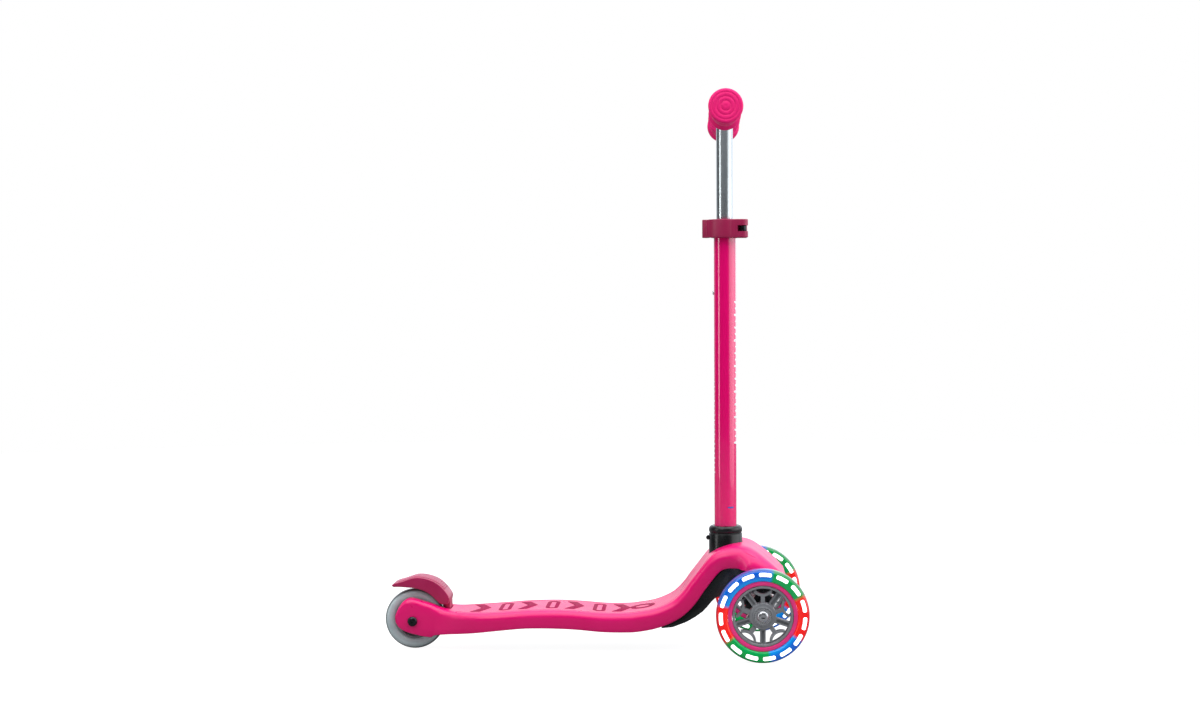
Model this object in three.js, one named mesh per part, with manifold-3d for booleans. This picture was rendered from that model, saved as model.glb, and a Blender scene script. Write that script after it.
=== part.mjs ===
// Child's three-wheeled lean-to-steer kick scooter.
// Millimetres. +X forward, +Y to the rider's left, +Z up, the floor at Z = 0.
import * as THREE from 'three';
import { mergeVertices } from 'three/addons/utils/BufferGeometryUtils.js';
import Module from 'manifold-3d';

const wasm = await Module();
wasm.setup();

// ---- overall sizes ----
const WHEELBASE = 465;
const FRONT_R = 60.5;
const REAR_R = 40;
const HALF_TRACK = 124;
const TUBE_R = 15;
const TUBE_WALL = 1.8;
const INNER_TUBE_R = 11.2;
const INNER_TUBE_WALL = 1.5;
const TUBE_TOP = 552;
const BAR_HEIGHT = 714.5;
const BAR_HALF_LENGTH = 118;
const GRIP_R = 22.5;
const GRIP_END = 140;
const DECK_HALF_WIDTH = 56;
const HEIGHT_STEP = 50;

// ---- clearances ----
const GAP = 0.3;
const SHELL_GAP = 0.4;
const RUN_FIT = 0.1;

// ---- facets round a circle ----
const WHEEL_SEGMENTS = 32;
const ROUND = 20;
const SMALL = 16;

// ---- places that follow from the sizes ----
const REAR_X = -(WHEELBASE + FRONT_R - REAR_R) / 2;
const FRONT_X = REAR_X + WHEELBASE;
const TBAR_X = FRONT_X - 46;
const WHEEL_WIDTH = 24;

// ---- deck shell ----
const WALL = 4.5;
const PLATE_THICKNESS = 4;
const SIDE_DRAFT = 1.5;
// Forward of the rear axle, above the rear axle, depth, half-width change, shoulder.
const TAIL = [
  [37.75, 17, 37, -23, 9],
  [52.75, 13.6, 31, -17.5, 9],
  [64.75, 12.5, 28.2, -12, 9],
  [82.75, 12.6, 26.4, -6, 9],
];
// Share of the way from the last tail row to the first head row, height above
// the line between the axles, depth, half-width change, shoulder.
const MIDDLE = [
  [0.069, 11.6, 25, -3, 9],
  [0.183, 10.6, 23.6, -0.8, 9],
  [0.298, 10.0, 23.2, 0, 9],
  [0.413, 8.4, 23.6, 0, 9],
  [0.523, 6.0, 24, 0, 9],
  [0.642, 2.1, 24, 0, 9],
  [0.798, -3.96, 24.4, 0, 9],
  [0.94, -6.87, 25, 0, 9],
];
// Forward of the front axle, above the front axle, depth, half-width change, shoulder.
const HEAD = [
  [-164.25, -6.7, 25.5, 0, 9],
  [-146.25, -3.9, 25, 0, 9],
  [-132.25, 0.5, 24.5, 0, 9],
  [-119.25, 6.7, 24, 0, 9],
  [-110.75, 13.5, 23.5, 0, 9],
  [-102.75, 22.1, 23, 0.3, 9],
  [-94.25, 33.7, 22.5, 0.6, 9],
  [-86.25, 43.9, 22, 1, 9],
  [-78.25, 54.1, 22, 1.4, 9],
  [-69.75, 64.5, 23, 2, 10],
  [-59.25, 73, 25, 3, 12],
  [-46.25, 78.5, 27.5, 5, 15],
  [-32.25, 81.5, 29, 10, 19],
  [-18.25, 80.5, 30, 17, 22],
  [-5.25, 74.8, 28, 22, 22],
  [7.75, 64.5, 22, 23, 17],
  [20.75, 53.5, 14, 20, 10],
  [33.75, 40, 8, 8, 5],
];
const HOLLOW_FIRST_ROW = 3;

// ---- fork arms at the tail ----
const ARM_OUTER = 32;
const SLOT_HALF_WIDTH = 15.2;
const SLOT_FRONT = 49.25;
// Forward of the rear axle, above the rear axle.
const ARM_OUTLINE = [
  [-23.3, 3], [-21.3, 12], [-15.3, 24], [-7.3, 29.5], [2.7, 29], [16.7, 25], [33.7, 20.5],
  [52, 15], [60, 12], [60, -14], [42, -20], [27, -21.6], [16, -21], [0, -17.4], [-12, -13],
  [-19.3, -7],
];

// ---- steering truck ----
const KINGPIN_Y = 76;
const KINGPIN_TILT = THREE.MathUtils.degToRad(30);
const KINGPIN_R = 4;
const BARREL_R = 9;
const BARREL_HALF = 13.5;
const LUG_R = 10;
const LUG_OUT = 22;
const ARM_LENGTH = 24;
const ARM_HALF_THICK = 4;
const ROD_THICK = 4;
const TIE_PIN_R = 3;
const HOUSING_HALF_WIDTH = 54;
// Lower edge of the head housing, forward of and above the front axle.
const HOUSING_EDGE = [
  [-132, -27.4], [-117, -26], [-98.7, -19.1], [-86.7, -12.3], [-77.4, -5.5], [-70.9, 1.2],
  [-65.5, 7.9], [-60, 13], [-45, 17], [-24, 15], [-12, -1], [6, -1], [20, 6], [27, 32],
];

// ---- collar and latch ----
const COLLAR_WALL = 7.5;
const COLLAR_R = TUBE_R + COLLAR_WALL;
const COLLAR_TOP = 103.5;
const SLEEVE_WALL = 4;
const SLEEVE_R = TUBE_R + SLEEVE_WALL;
const SLEEVE_TOP = 67.5;
const BORE_FLOOR = 29.9;
const LATCH_HEIGHT = 87;
const BUTTON_TRAVEL = 3;

// ---- clamp ----
const CLAMP_HALF_HEIGHT = 12.2;
const CLAMP_WALL = 4;
const CLAMP_R = TUBE_R + CLAMP_WALL;
const CLAMP_Z = 563.85;
const EAR_REACH = CLAMP_R + 12;
const LEVER_PIVOT_X = CLAMP_R + 5;
const LEVER_PIVOT_Y = 3 - CLAMP_R;
const LEVER_CAM_R = 7;

// ---- wheels ----
const AXLE_R = 4;
const BEARING_R = 11;
const BEARING_WIDTH = 7;
const FRONT_HUB_HALF = 10;
const REAR_HUB_HALF = 14.4;

// ---- brake ----
const BRAKE_HALF_WIDTH = 22;
const BRAKE_WALL = 3.5;
const BRAKE_PIN_X = 45.2;
const BRAKE_PIN_Z = 13;

const COLOURS = {
  pink: 0xf0417e, darkPink: 0xa02350, black: 0x14181a, silver: 0xc8d0d2, steel: 0xa9aeb2,
  grey: 0x6b7074, clear: 0xdfe9ee, light: 0xf4f7ff,
};

// ---- solids and meshes ----
function signedVolume(geometry) {
  const position = geometry.attributes.position;
  const index = geometry.index;
  const a = new THREE.Vector3();
  const b = new THREE.Vector3();
  const c = new THREE.Vector3();
  let volume = 0;
  for (let i = 0; i < index.count; i += 3) {
    a.fromBufferAttribute(position, index.getX(i));
    b.fromBufferAttribute(position, index.getX(i + 1));
    c.fromBufferAttribute(position, index.getX(i + 2));
    volume += a.dot(b.cross(c)) / 6;
  }
  return volume;
}

function facingOut(geometry) {
  if (signedVolume(geometry) < 0) {
    const index = geometry.index;
    for (let i = 0; i < index.count; i += 3) {
      const swap = index.getX(i);
      index.setX(i, index.getX(i + 1));
      index.setX(i + 1, swap);
    }
  }
  return geometry;
}

function solid(geometry) {
  const plain = geometry.clone();
  plain.deleteAttribute('normal');
  plain.deleteAttribute('uv');
  const merged = facingOut(mergeVertices(plain, 1e-5));
  return new wasm.Manifold(new wasm.Mesh({
    numProp: 3,
    vertProperties: new Float32Array(merged.attributes.position.array),
    triVerts: new Uint32Array(merged.index.array),
  }));
}

function unite(...solids) {
  return solids.reduce((whole, piece) => whole.add(piece));
}

function cut(body, ...tools) {
  return tools.reduce((whole, tool) => whole.subtract(tool), body);
}

function surface(body) {
  const mesh = body.getMesh();
  const geometry = new THREE.BufferGeometry();
  const points = new Float32Array(mesh.vertProperties);
  geometry.setAttribute('position', new THREE.BufferAttribute(points, mesh.numProp));
  geometry.setIndex(new THREE.BufferAttribute(new Uint32Array(mesh.triVerts), 1));
  geometry.computeVertexNormals();
  return geometry;
}

function part(name, body, colour, roughness = 0.5, metalness = 0) {
  const material = new THREE.MeshStandardMaterial({ color: COLOURS[colour], roughness, metalness });
  const mesh = new THREE.Mesh(surface(body), material);
  mesh.name = name;
  return mesh;
}

function group(name, children) {
  const made = new THREE.Group();
  made.name = name;
  made.add(...children);
  return made;
}

// Turns a profile of [radius, height] points about Z. The profile closes on
// itself, or starts and ends on the axis.
function revolve(profile, segments = ROUND) {
  const points = [];
  const faces = [];
  const rings = profile.map(([radius, height]) => {
    const count = radius > 0 ? segments : 1;
    const first = points.length / 3;
    for (let k = 0; k < count; k += 1) {
      const angle = (2 * Math.PI * k) / segments;
      points.push(radius * Math.cos(angle), radius * Math.sin(angle), height);
    }
    return { first, count };
  });
  const open = profile[0][0] === 0 && profile[profile.length - 1][0] === 0;
  const spans = open ? rings.length - 1 : rings.length;
  for (let i = 0; i < spans; i += 1) {
    const low = rings[i];
    const high = rings[(i + 1) % rings.length];
    for (let k = 0; k < segments; k += 1) {
      const next = (k + 1) % segments;
      if (low.count > 1) {
        faces.push(low.first + k, low.first + next, high.first + (high.count > 1 ? k : 0));
      }
      if (high.count > 1) {
        faces.push(low.first + (low.count > 1 ? next : 0), high.first + next, high.first + k);
      }
    }
  }
  return solid(indexed(points, faces));
}

function indexed(points, faces) {
  const geometry = new THREE.BufferGeometry();
  geometry.setAttribute('position', new THREE.Float32BufferAttribute(points, 3));
  geometry.setIndex(faces);
  return geometry;
}

function rod(radius, low, high, segments = SMALL) {
  return revolve([[0, low], [radius, low], [radius, high], [0, high]], segments);
}

function ring(inner, outer, low, high, segments = ROUND) {
  return revolve([[inner, low], [outer, low], [outer, high], [inner, high]], segments);
}

function box(low, high) {
  const size = high.map((value, i) => value - low[i]);
  const geometry = new THREE.BoxGeometry(...size);
  geometry.translate(...low.map((value, i) => value + size[i] / 2));
  return solid(geometry);
}

// Pulls an outline of [x, y] points from one height to another along Z.
function prism(outline, low, high) {
  const shape = new THREE.Shape(outline.map(([x, y]) => new THREE.Vector2(x, y)));
  const geometry = new THREE.ExtrudeGeometry(shape, { depth: high - low, bevelEnabled: false });
  geometry.translate(0, 0, low);
  return solid(geometry);
}

// Pulls an outline of [x, z] points across the scooter from one Y to another.
function sidePrism(outline, low, high) {
  return prism(outline, -high, -low).rotate([90, 0, 0]);
}

// Skins closed rings of points and closes both ends.
function loft(rings) {
  const points = rings.flat(2);
  const faces = [];
  const count = rings[0].length;
  for (let i = 0; i < rings.length - 1; i += 1) {
    for (let k = 0; k < count; k += 1) {
      const next = (k + 1) % count;
      const a = i * count;
      const b = a + count;
      faces.push(a + k, a + next, b + k, a + next, b + next, b + k);
    }
  }
  for (const [start, flip] of [[0, true], [(rings.length - 1) * count, false]]) {
    const middle = points.length / 3;
    for (let axis = 0; axis < 3; axis += 1) {
      let sum = 0;
      for (let k = 0; k < count; k += 1) {
        sum += points[(start + k) * 3 + axis];
      }
      points.push(sum / count);
    }
    for (let k = 0; k < count; k += 1) {
      const next = (k + 1) % count;
      faces.push(start + (flip ? next : k), start + (flip ? k : next), middle);
    }
  }
  return solid(indexed(points, faces));
}

function arc(cx, cy, radius, from, to, steps) {
  const points = [];
  for (let i = 0; i <= steps; i += 1) {
    const angle = THREE.MathUtils.degToRad(from + ((to - from) * i) / steps);
    points.push([cx + radius * Math.cos(angle), cy + radius * Math.sin(angle)]);
  }
  return points;
}

// ---- deck ----
function deckStations() {
  const tailEnd = REAR_X + TAIL[TAIL.length - 1][0];
  const headStart = FRONT_X + HEAD[0][0];
  const tail = TAIL.map(([x, z, ...rest]) => [REAR_X + x, REAR_R + z, ...rest]);
  const head = HEAD.map(([x, z, ...rest]) => [FRONT_X + x, FRONT_R + z, ...rest]);
  const middle = MIDDLE.map(([share, z, ...rest]) => {
    const base = REAR_R + (FRONT_R - REAR_R) * share;
    return [tailEnd + (headStart - tailEnd) * share, base + z, ...rest];
  });
  const rows = [...tail, ...middle, ...head];
  return rows.map(([x, z, depth, widthChange, shoulder], i) => {
    const before = rows[Math.max(i - 1, 0)];
    const after = rows[Math.min(i + 1, rows.length - 1)];
    const along = new THREE.Vector2(after[0] - before[0], after[1] - before[1]).normalize();
    return {
      x, z, depth, shoulder,
      halfWidth: DECK_HALF_WIDTH + widthChange,
      downX: along.y,
      downZ: -along.x,
    };
  });
}

const STATIONS = deckStations();

// One cross-section of the deck: across is Y, down is along the station's normal.
function sectionRing(station, outline) {
  const left = outline.map(([across, down]) => [across, down]);
  const right = outline.map(([across, down]) => [-across, down]).reverse();
  return [...left, ...right].map(([across, down]) => [
    station.x + station.downX * down, across, station.z + station.downZ * down,
  ]);
}

function outerSection(station, grow) {
  const w = station.halfWidth + grow;
  const r = station.shoulder;
  return [
    [w - r * 1.25, -grow], [w - r * 0.6, r * 0.16 - grow], [w - r * 0.15, r * 0.5],
    [w, r], [w - SIDE_DRAFT, station.depth + grow],
  ];
}

function hollowSection(station, grow) {
  const w = station.halfWidth - WALL - grow;
  const r = Math.max(station.shoulder - 2, 5);
  const top = WALL + grow;
  return [[w - r, top], [w - r * 0.3, top + r * 0.3], [w, top + r], [w, station.depth + 4]];
}

function outerShell(grow) {
  return loft(STATIONS.map((station) => sectionRing(station, outerSection(station, grow))));
}

function shellHollow(grow) {
  const rows = STATIONS.slice(HOLLOW_FIRST_ROW, -1);
  return loft(rows.map((station) => sectionRing(station, hollowSection(station, grow))));
}

function forkArms() {
  const outline = ARM_OUTLINE.map(([x, z]) => [REAR_X + x, REAR_R + z]);
  return unite(sidePrism(outline, -ARM_OUTER, ARM_OUTER));
}

function wheelSlot() {
  const low = [REAR_X - REAR_R, -SLOT_HALF_WIDTH, -REAR_R];
  return box(low, [REAR_X + SLOT_FRONT, SLOT_HALF_WIDTH, 3 * REAR_R]);
}

function acrossRod(radius, x, z, low, high, segments = SMALL) {
  return rod(radius, low, high, segments).rotate([-90, 0, 0]).translate([x, 0, z]);
}

function plateZ(x, share) {
  const i = STATIONS.findIndex((station) => station.x > x);
  const a = STATIONS[i - 1];
  const b = STATIONS[i];
  const t = (x - a.x) / (b.x - a.x);
  const depth = (station) => station.z + station.downZ * (station.depth - share);
  return depth(a) + (depth(b) - depth(a)) * t;
}

const SCREW_R = 2;
const SCREW_HEAD_R = 4;
const SCREW_HEAD = 2;
const SCREW_LENGTH = 13;
const SCREW_Y = 32;
const SCREW_PLACES = [-1, 1].flatMap((side) => [0.14, 0.86].map((share) => [
  STATIONS[3].x + (FRONT_X - 164 - STATIONS[3].x) * share, side * SCREW_Y,
]));

function screwPost([x, y]) {
  const low = plateZ(x, PLATE_THICKNESS) + 3 * GAP;
  const high = plateZ(x, 0) + STATIONS[6].depth - 2;
  return rod(5, low, high, SMALL).translate([x, y, 0]);
}

function screwHole([x, y]) {
  const low = plateZ(x, PLATE_THICKNESS) - 1;
  return rod(SCREW_R + RUN_FIT, low, low + SCREW_LENGTH, SMALL).translate([x, y, 0]);
}

function collarHole() {
  return rod(COLLAR_R + GAP, 0, 3 * FRONT_R, ROUND).translate([TBAR_X, 0, FRONT_R]);
}

function deckShell(grow = 0) {
  const hollowed = cut(unite(outerShell(grow), forkArms()), shellHollow(grow), wheelSlot());
  return hollowed;
}

function finishedShell() {
  const posts = unite(deckShell(), ...SCREW_PLACES.map(screwPost));
  const pin = acrossRod(BRAKE_PIN_R + RUN_FIT, REAR_X + BRAKE_PIN_X, REAR_R + BRAKE_PIN_Z, -24.4, 24.4);
  const axle = acrossRod(AXLE_R + RUN_FIT, REAR_X, REAR_R, -2 * ARM_OUTER, 2 * ARM_OUTER);
  return cut(posts, ...SCREW_PLACES.map(screwHole), collarHole(), pin, axle);
}

const PAD_DROP = 1.2;
const PAD_HALF_LENGTH = 26;
const PAD_HALF_WIDTH = 30;

function underplateSolid() {
  const rows = STATIONS.filter((s) => s.x > STATIONS[3].x && s.x < FRONT_X - 140);
  const plate = loft(rows.map((station) => {
    const w = station.halfWidth - WALL - SHELL_GAP;
    const outline = [[w, station.depth - PLATE_THICKNESS], [w, station.depth]];
    return sectionRing(station, outline);
  }));
  const padX = STATIONS[10].x;
  const low = Math.min(plateZ(padX - PAD_HALF_LENGTH, 0), plateZ(padX + PAD_HALF_LENGTH, 0)) - PAD_DROP;
  const pad = box([padX - PAD_HALF_LENGTH, -PAD_HALF_WIDTH, low],
    [padX + PAD_HALF_LENGTH, PAD_HALF_WIDTH, plateZ(padX, PLATE_THICKNESS / 2)]);
  const holes = SCREW_PLACES.map(([x, y]) => {
    const bottom = plateZ(x, 0);
    return unite(
      rod(SCREW_R + RUN_FIT, bottom - 5, bottom + 9, SMALL),
      rod(SCREW_HEAD_R + GAP, bottom - 5, bottom + SCREW_HEAD, SMALL),
    ).translate([x, y, 0]);
  });
  return cut(unite(plate, pad), ...holes);
}

function screwSolid([x, y]) {
  const bottom = plateZ(x, 0) - GAP;
  const shank = bottom + SCREW_LENGTH;
  return revolve([
    [0, bottom], [SCREW_HEAD_R * 0.8, bottom], [SCREW_HEAD_R, bottom + 0.6],
    [SCREW_HEAD_R, bottom + SCREW_HEAD], [SCREW_R, bottom + SCREW_HEAD], [SCREW_R, shank - 2],
    [0, shank],
  ], SMALL).translate([x, y, 0]);
}

// ---- head housing and truck ----
function inTruck(body, y = 0) {
  const degrees = THREE.MathUtils.radToDeg(KINGPIN_TILT);
  return body.rotate([0, degrees, 0]).translate([FRONT_X, y, FRONT_R]);
}

function kingpinFork(side) {
  const lug = (low, high) => unite(
    rod(LUG_R, low, high, SMALL).translate([0, side * KINGPIN_Y, 0]),
    box([-LUG_R, Math.min(side * 40, side * KINGPIN_Y), low],
      [LUG_R, Math.max(side * 40, side * KINGPIN_Y), high]),
  );
  const webEnd = side * (KINGPIN_Y - BARREL_R - 4);
  const web = box([-LUG_R, Math.min(side * 40, webEnd), -LUG_OUT],
    [LUG_R, Math.max(side * 40, webEnd), LUG_OUT]);
  const low = BARREL_HALF + SPRING_ROOM;
  return unite(lug(BARREL_HALF + GAP, LUG_OUT), lug(-LUG_OUT, -low), web);
}

const SPRING_ROOM = 3.5;

function housingSolid() {
  const under = HOUSING_EDGE.map(([x, z]) => [FRONT_X + x, FRONT_R + z]);
  const rows = STATIONS.filter((s) => s.x > FRONT_X - 122 && s.x < FRONT_X + 12);
  const over = rows.map((s) => [s.x + s.downX * 6, s.z + s.downZ * 6]).reverse();
  const block = sidePrism([...under, ...over], -HOUSING_HALF_WIDTH, HOUSING_HALF_WIDTH);
  const forks = unite(kingpinFork(1), kingpinFork(-1));
  const whole = unite(cut(block, deckShell(SHELL_GAP)), inTruck(forks));
  const rodX = ARM_LENGTH;
  const channel = box([-rodX - 9, -2 * KINGPIN_Y, -3 * FRONT_R],
    [-rodX + 9.5, 2 * KINGPIN_Y, ARM_HALF_THICK + ROD_THICK + 4.5]);
  const bore = rod(SLEEVE_R + GAP, FRONT_R + BORE_FLOOR, 3 * FRONT_R, ROUND).translate([TBAR_X, 0, 0]);
  const seat = rod(COLLAR_R + GAP, FRONT_R + SLEEVE_TOP - GAP, 3 * FRONT_R, ROUND);
  const pins = [1, -1].map((side) => (
    rod(KINGPIN_R + RUN_FIT, -LUG_OUT - 1, LUG_OUT + 1).translate([0, side * KINGPIN_Y, 0])));
  return cut(whole, inTruck(channel), bore, seat.translate([TBAR_X, 0, 0]), inTruck(unite(...pins)));
}

function knuckleSolid(side) {
  const reach = side * (HALF_TRACK - FRONT_HUB_HALF - GAP - KINGPIN_Y);
  const degrees = THREE.MathUtils.radToDeg(KINGPIN_TILT);
  const stub = rod(BARREL_R, Math.min(0, reach), Math.max(0, reach), SMALL).rotate([-90, 0, 0]);
  const bolt = rod(AXLE_R + RUN_FIT, Math.min(side * 11, 2 * reach), Math.max(side * 11, 2 * reach));
  const barrel = rod(BARREL_R, -BARREL_HALF, BARREL_HALF, SMALL);
  const lever = unite(
    box([-ARM_LENGTH, -4.5, -ARM_HALF_THICK], [0, 4.5, ARM_HALF_THICK]),
    rod(6, -ARM_HALF_THICK, ARM_HALF_THICK, SMALL).translate([-ARM_LENGTH, 0, 0]),
    rod(TIE_PIN_R, 0, ARM_HALF_THICK + ROD_THICK + 1.4, SMALL).translate([-ARM_LENGTH, 0, 0]),
  );
  const turned = unite(barrel, lever).rotate([0, degrees, 0]);
  const pinHole = rod(KINGPIN_R + RUN_FIT, -20, 20).rotate([0, degrees, 0]);
  const body = cut(unite(turned, stub), bolt.rotate([-90, 0, 0]), pinHole);
  return body.translate([FRONT_X, side * KINGPIN_Y, FRONT_R]);
}

function kingpinSolid(side) {
  const head = LUG_OUT + GAP;
  const pin = revolve([
    [0, -LUG_OUT], [KINGPIN_R, -LUG_OUT], [KINGPIN_R, head], [KINGPIN_R + 3, head],
    [KINGPIN_R + 2.4, head + 3], [0, head + 3.6],
  ], SMALL);
  return inTruck(pin, side * KINGPIN_Y);
}

function centringSpring(side) {
  const low = -BARREL_HALF - SPRING_ROOM + GAP;
  const coil = ring(KINGPIN_R + 0.6, BARREL_R - 1, low, -BARREL_HALF - GAP, SMALL);
  return inTruck(coil, side * KINGPIN_Y);
}

function tieRodSolid() {
  const low = ARM_HALF_THICK + GAP;
  const high = low + ROD_THICK;
  const bar = box([-ARM_LENGTH - 4, -KINGPIN_Y, low], [-ARM_LENGTH + 4, KINGPIN_Y, high]);
  const eyes = [1, -1].map((side) => rod(6.5, low, high, SMALL).translate([-ARM_LENGTH, side * KINGPIN_Y, 0]));
  const holes = [1, -1].map((side) => (
    rod(TIE_PIN_R + SHELL_GAP, 0, 2 * high, SMALL).translate([-ARM_LENGTH, side * KINGPIN_Y, 0])));
  return inTruck(cut(unite(bar, ...eyes), ...holes));
}

// ---- collar, latch and tubes, measured up from the front axle ----
function collarSolid() {
  const bore = TUBE_R + GAP;
  const low = BORE_FLOOR + GAP;
  const body = revolve([
    [bore, low], [SLEEVE_R, low], [SLEEVE_R, SLEEVE_TOP], [COLLAR_R, SLEEVE_TOP],
    [COLLAR_R, COLLAR_TOP - 11], [COLLAR_R - 0.9, COLLAR_TOP - 10.4],
    [COLLAR_R - 0.9, COLLAR_TOP - 8.6], [COLLAR_R, COLLAR_TOP - 8], [COLLAR_R, COLLAR_TOP - 3.4],
    [COLLAR_R - 3, COLLAR_TOP], [bore, COLLAR_TOP],
  ], ROUND);
  const hole = rod(LATCH_STEM_R + SHELL_GAP, bore - 2, COLLAR_R + 1, SMALL).rotate([0, -90, 0]);
  const pocket = box([-COLLAR_R - 2, -TAB_HALF - GAP, -TAB_HALF - GAP],
    [-COLLAR_R + BUTTON_TRAVEL + GAP, TAB_HALF + GAP, TAB_HALF + GAP]);
  const cuts = unite(hole, pocket).translate([0, 0, LATCH_HEIGHT]);
  return cut(body, cuts).translate([TBAR_X, 0, FRONT_R]);
}

const LATCH_STEM_R = 2.5;
const TAB_HALF = 3;
const LATCH_PIN_REACH = 2.2;
const LATCH_PIN_TIP = TUBE_R + LATCH_PIN_REACH;

function releaseButton() {
  const stem = rod(LATCH_STEM_R, LATCH_PIN_TIP + GAP, COLLAR_R + 1, SMALL).rotate([0, -90, 0]);
  const out = -COLLAR_R;
  const tab = sidePrism([
    [out, -TAB_HALF], [out, TAB_HALF], [out - 1.6, TAB_HALF], [out - 4.3, TAB_HALF * 0.1],
    [out - 2.4, -TAB_HALF],
  ], -TAB_HALF, TAB_HALF);
  return unite(stem, tab).translate([TBAR_X, 0, FRONT_R + LATCH_HEIGHT]);
}

// A leaf spring inside a tube, with a pin that comes out through the tube wall.
function leafSpring(leafX, low, high) {
  return box([leafX, -4, low], [leafX + 0.8, 4, high]);
}

function latchClip() {
  const leafX = -(TUBE_R - TUBE_WALL - 1.4);
  const pin = rod(2.8, -leafX - 0.6, LATCH_PIN_TIP, SMALL).rotate([0, -90, 0]);
  return unite(pin, leafSpring(leafX, -40, 5)).translate([TBAR_X, 0, FRONT_R + LATCH_HEIGHT]);
}

const TUBE_FOOT = 34.5;
const PIN_HEIGHT = 417.5;
const PIN_R = 3;

function sideHole(radius, inner, outer) {
  return rod(radius, inner, outer, SMALL).rotate([0, -90, 0]);
}

function outerTube() {
  const tube = ring(TUBE_R - TUBE_WALL, TUBE_R, FRONT_R + TUBE_FOOT, TUBE_TOP + 3, ROUND);
  const latch = sideHole(3.1, 8, 20).translate([0, 0, FRONT_R + LATCH_HEIGHT]);
  const holes = [-1, 0, 1].map((step) => (
    sideHole(PIN_R + GAP, 8, 20).translate([0, 0, FRONT_R + PIN_HEIGHT + step * HEIGHT_STEP])));
  const slit = box([0, -1, TUBE_TOP - 24], [2 * TUBE_R, 1, TUBE_TOP + 10]);
  return cut(tube, latch, ...holes, slit).translate([TBAR_X, 0, 0]);
}

function tubePlug() {
  const r = TUBE_R - TUBE_WALL - GAP;
  const foot = TUBE_FOOT - GAP;
  const plug = revolve([
    [0, foot - 3.5], [TUBE_R - 0.4, foot - 3.5], [TUBE_R - 0.4, foot], [r, foot],
    [r, foot + 44], [0, foot + 44],
  ], ROUND);
  const slot = box([-2 * TUBE_R, -4.6, LATCH_HEIGHT - 42], [-r + 4.4, 4.6, LATCH_HEIGHT + 10]);
  return cut(plug, slot).translate([TBAR_X, 0, FRONT_R]);
}

function topBush() {
  const inner = INNER_TUBE_R + GAP;
  const outer = TUBE_R - TUBE_WALL - GAP;
  const top = TUBE_TOP + 3;
  const bush = revolve([
    [inner, top - 28], [outer, top - 28], [outer, top + GAP], [TUBE_R, top + GAP],
    [TUBE_R, top + 3], [inner, top + 3],
  ], ROUND);
  const slit = box([0, -1, top - 40], [2 * TUBE_R, 1, top + 10]);
  return cut(bush, slit).translate([TBAR_X, 0, 0]);
}

const TUBE_BELOW_PIN = 34;

function tBar() {
  const low = FRONT_R + PIN_HEIGHT - TUBE_BELOW_PIN;
  const stem = rod(INNER_TUBE_R, low, BAR_HEIGHT, ROUND);
  const cross = rod(INNER_TUBE_R, -BAR_HALF_LENGTH, BAR_HALF_LENGTH, ROUND).rotate([-90, 0, 0]);
  const bead = revolve([
    [0, BAR_HEIGHT - 16], [INNER_TUBE_R + 0.2, BAR_HEIGHT - 15], [INNER_TUBE_R + 1.6, BAR_HEIGHT - 11],
    [INNER_TUBE_R + 1.6, BAR_HEIGHT - 8], [0, BAR_HEIGHT - 8],
  ], ROUND);
  const bore = rod(INNER_TUBE_R - INNER_TUBE_WALL, low - 1, BAR_HEIGHT - 12, ROUND);
  const hole = sideHole(PIN_R + GAP, 6, 14).translate([0, 0, FRONT_R + PIN_HEIGHT]);
  const solidBar = cross.translate([0, 0, BAR_HEIGHT]);
  const through = rod(INNER_TUBE_R - INNER_TUBE_WALL, -2 * BAR_HALF_LENGTH, 2 * BAR_HALF_LENGTH, ROUND)
    .rotate([-90, 0, 0]).translate([0, 0, BAR_HEIGHT]);
  return cut(unite(stem, solidBar, bead), bore, hole, through).translate([TBAR_X, 0, 0]);
}

function footBush() {
  const low = FRONT_R + PIN_HEIGHT - TUBE_BELOW_PIN;
  const outer = TUBE_R - TUBE_WALL - GAP;
  const r = INNER_TUBE_R - INNER_TUBE_WALL - GAP;
  const plug = revolve([
    [0, low - 6], [outer, low - 6], [outer, low - GAP], [r, low - GAP], [r, low + 14], [0, low + 14],
  ], ROUND);
  const slot = box([-r + 0.6, -4.4, low - 3], [-r + 3.4, 4.4, low + 20]);
  return cut(plug, slot).translate([TBAR_X, 0, 0]);
}

function heightButton() {
  const z = FRONT_R + PIN_HEIGHT;
  const pin = revolve([
    [0, 9], [PIN_R, 9], [PIN_R, TUBE_R + 0.4], [PIN_R * 0.75, TUBE_R + 1.3], [0, TUBE_R + 1.8],
  ], SMALL);
  return pin.rotate([0, -90, 0]).translate([TBAR_X, 0, z]);
}

function heightClip() {
  const z = FRONT_R + PIN_HEIGHT;
  return leafSpring(-8.6, z - TUBE_BELOW_PIN + 1, z + 5).translate([TBAR_X, 0, 0]);
}

// ---- clamp ----
function clampRing() {
  const body = ring(TUBE_R + GAP, CLAMP_R, -CLAMP_HALF_HEIGHT, CLAMP_HALF_HEIGHT - 4.6, ROUND);
  const lip = ring(TUBE_R + 0.8, CLAMP_R, CLAMP_HALF_HEIGHT - 5, CLAMP_HALF_HEIGHT, ROUND);
  const ears = box([CLAMP_R - 3, -8, -CLAMP_HALF_HEIGHT], [EAR_REACH - 1, 8, CLAMP_HALF_HEIGHT]);
  const slit = box([0, -1.5, -40], [2 * EAR_REACH, 1.5, 40]);
  const bolt = rod(3 + RUN_FIT, -30, 30, SMALL).rotate([-90, 0, 0]).translate([LEVER_PIVOT_X, 0, 0]);
  const bore = rod(TUBE_R + GAP, -40, 40, ROUND);
  const whole = cut(unite(body, lip, ears), bore, slit, bolt);
  return whole.translate([TBAR_X, 0, CLAMP_Z]);
}

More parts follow.
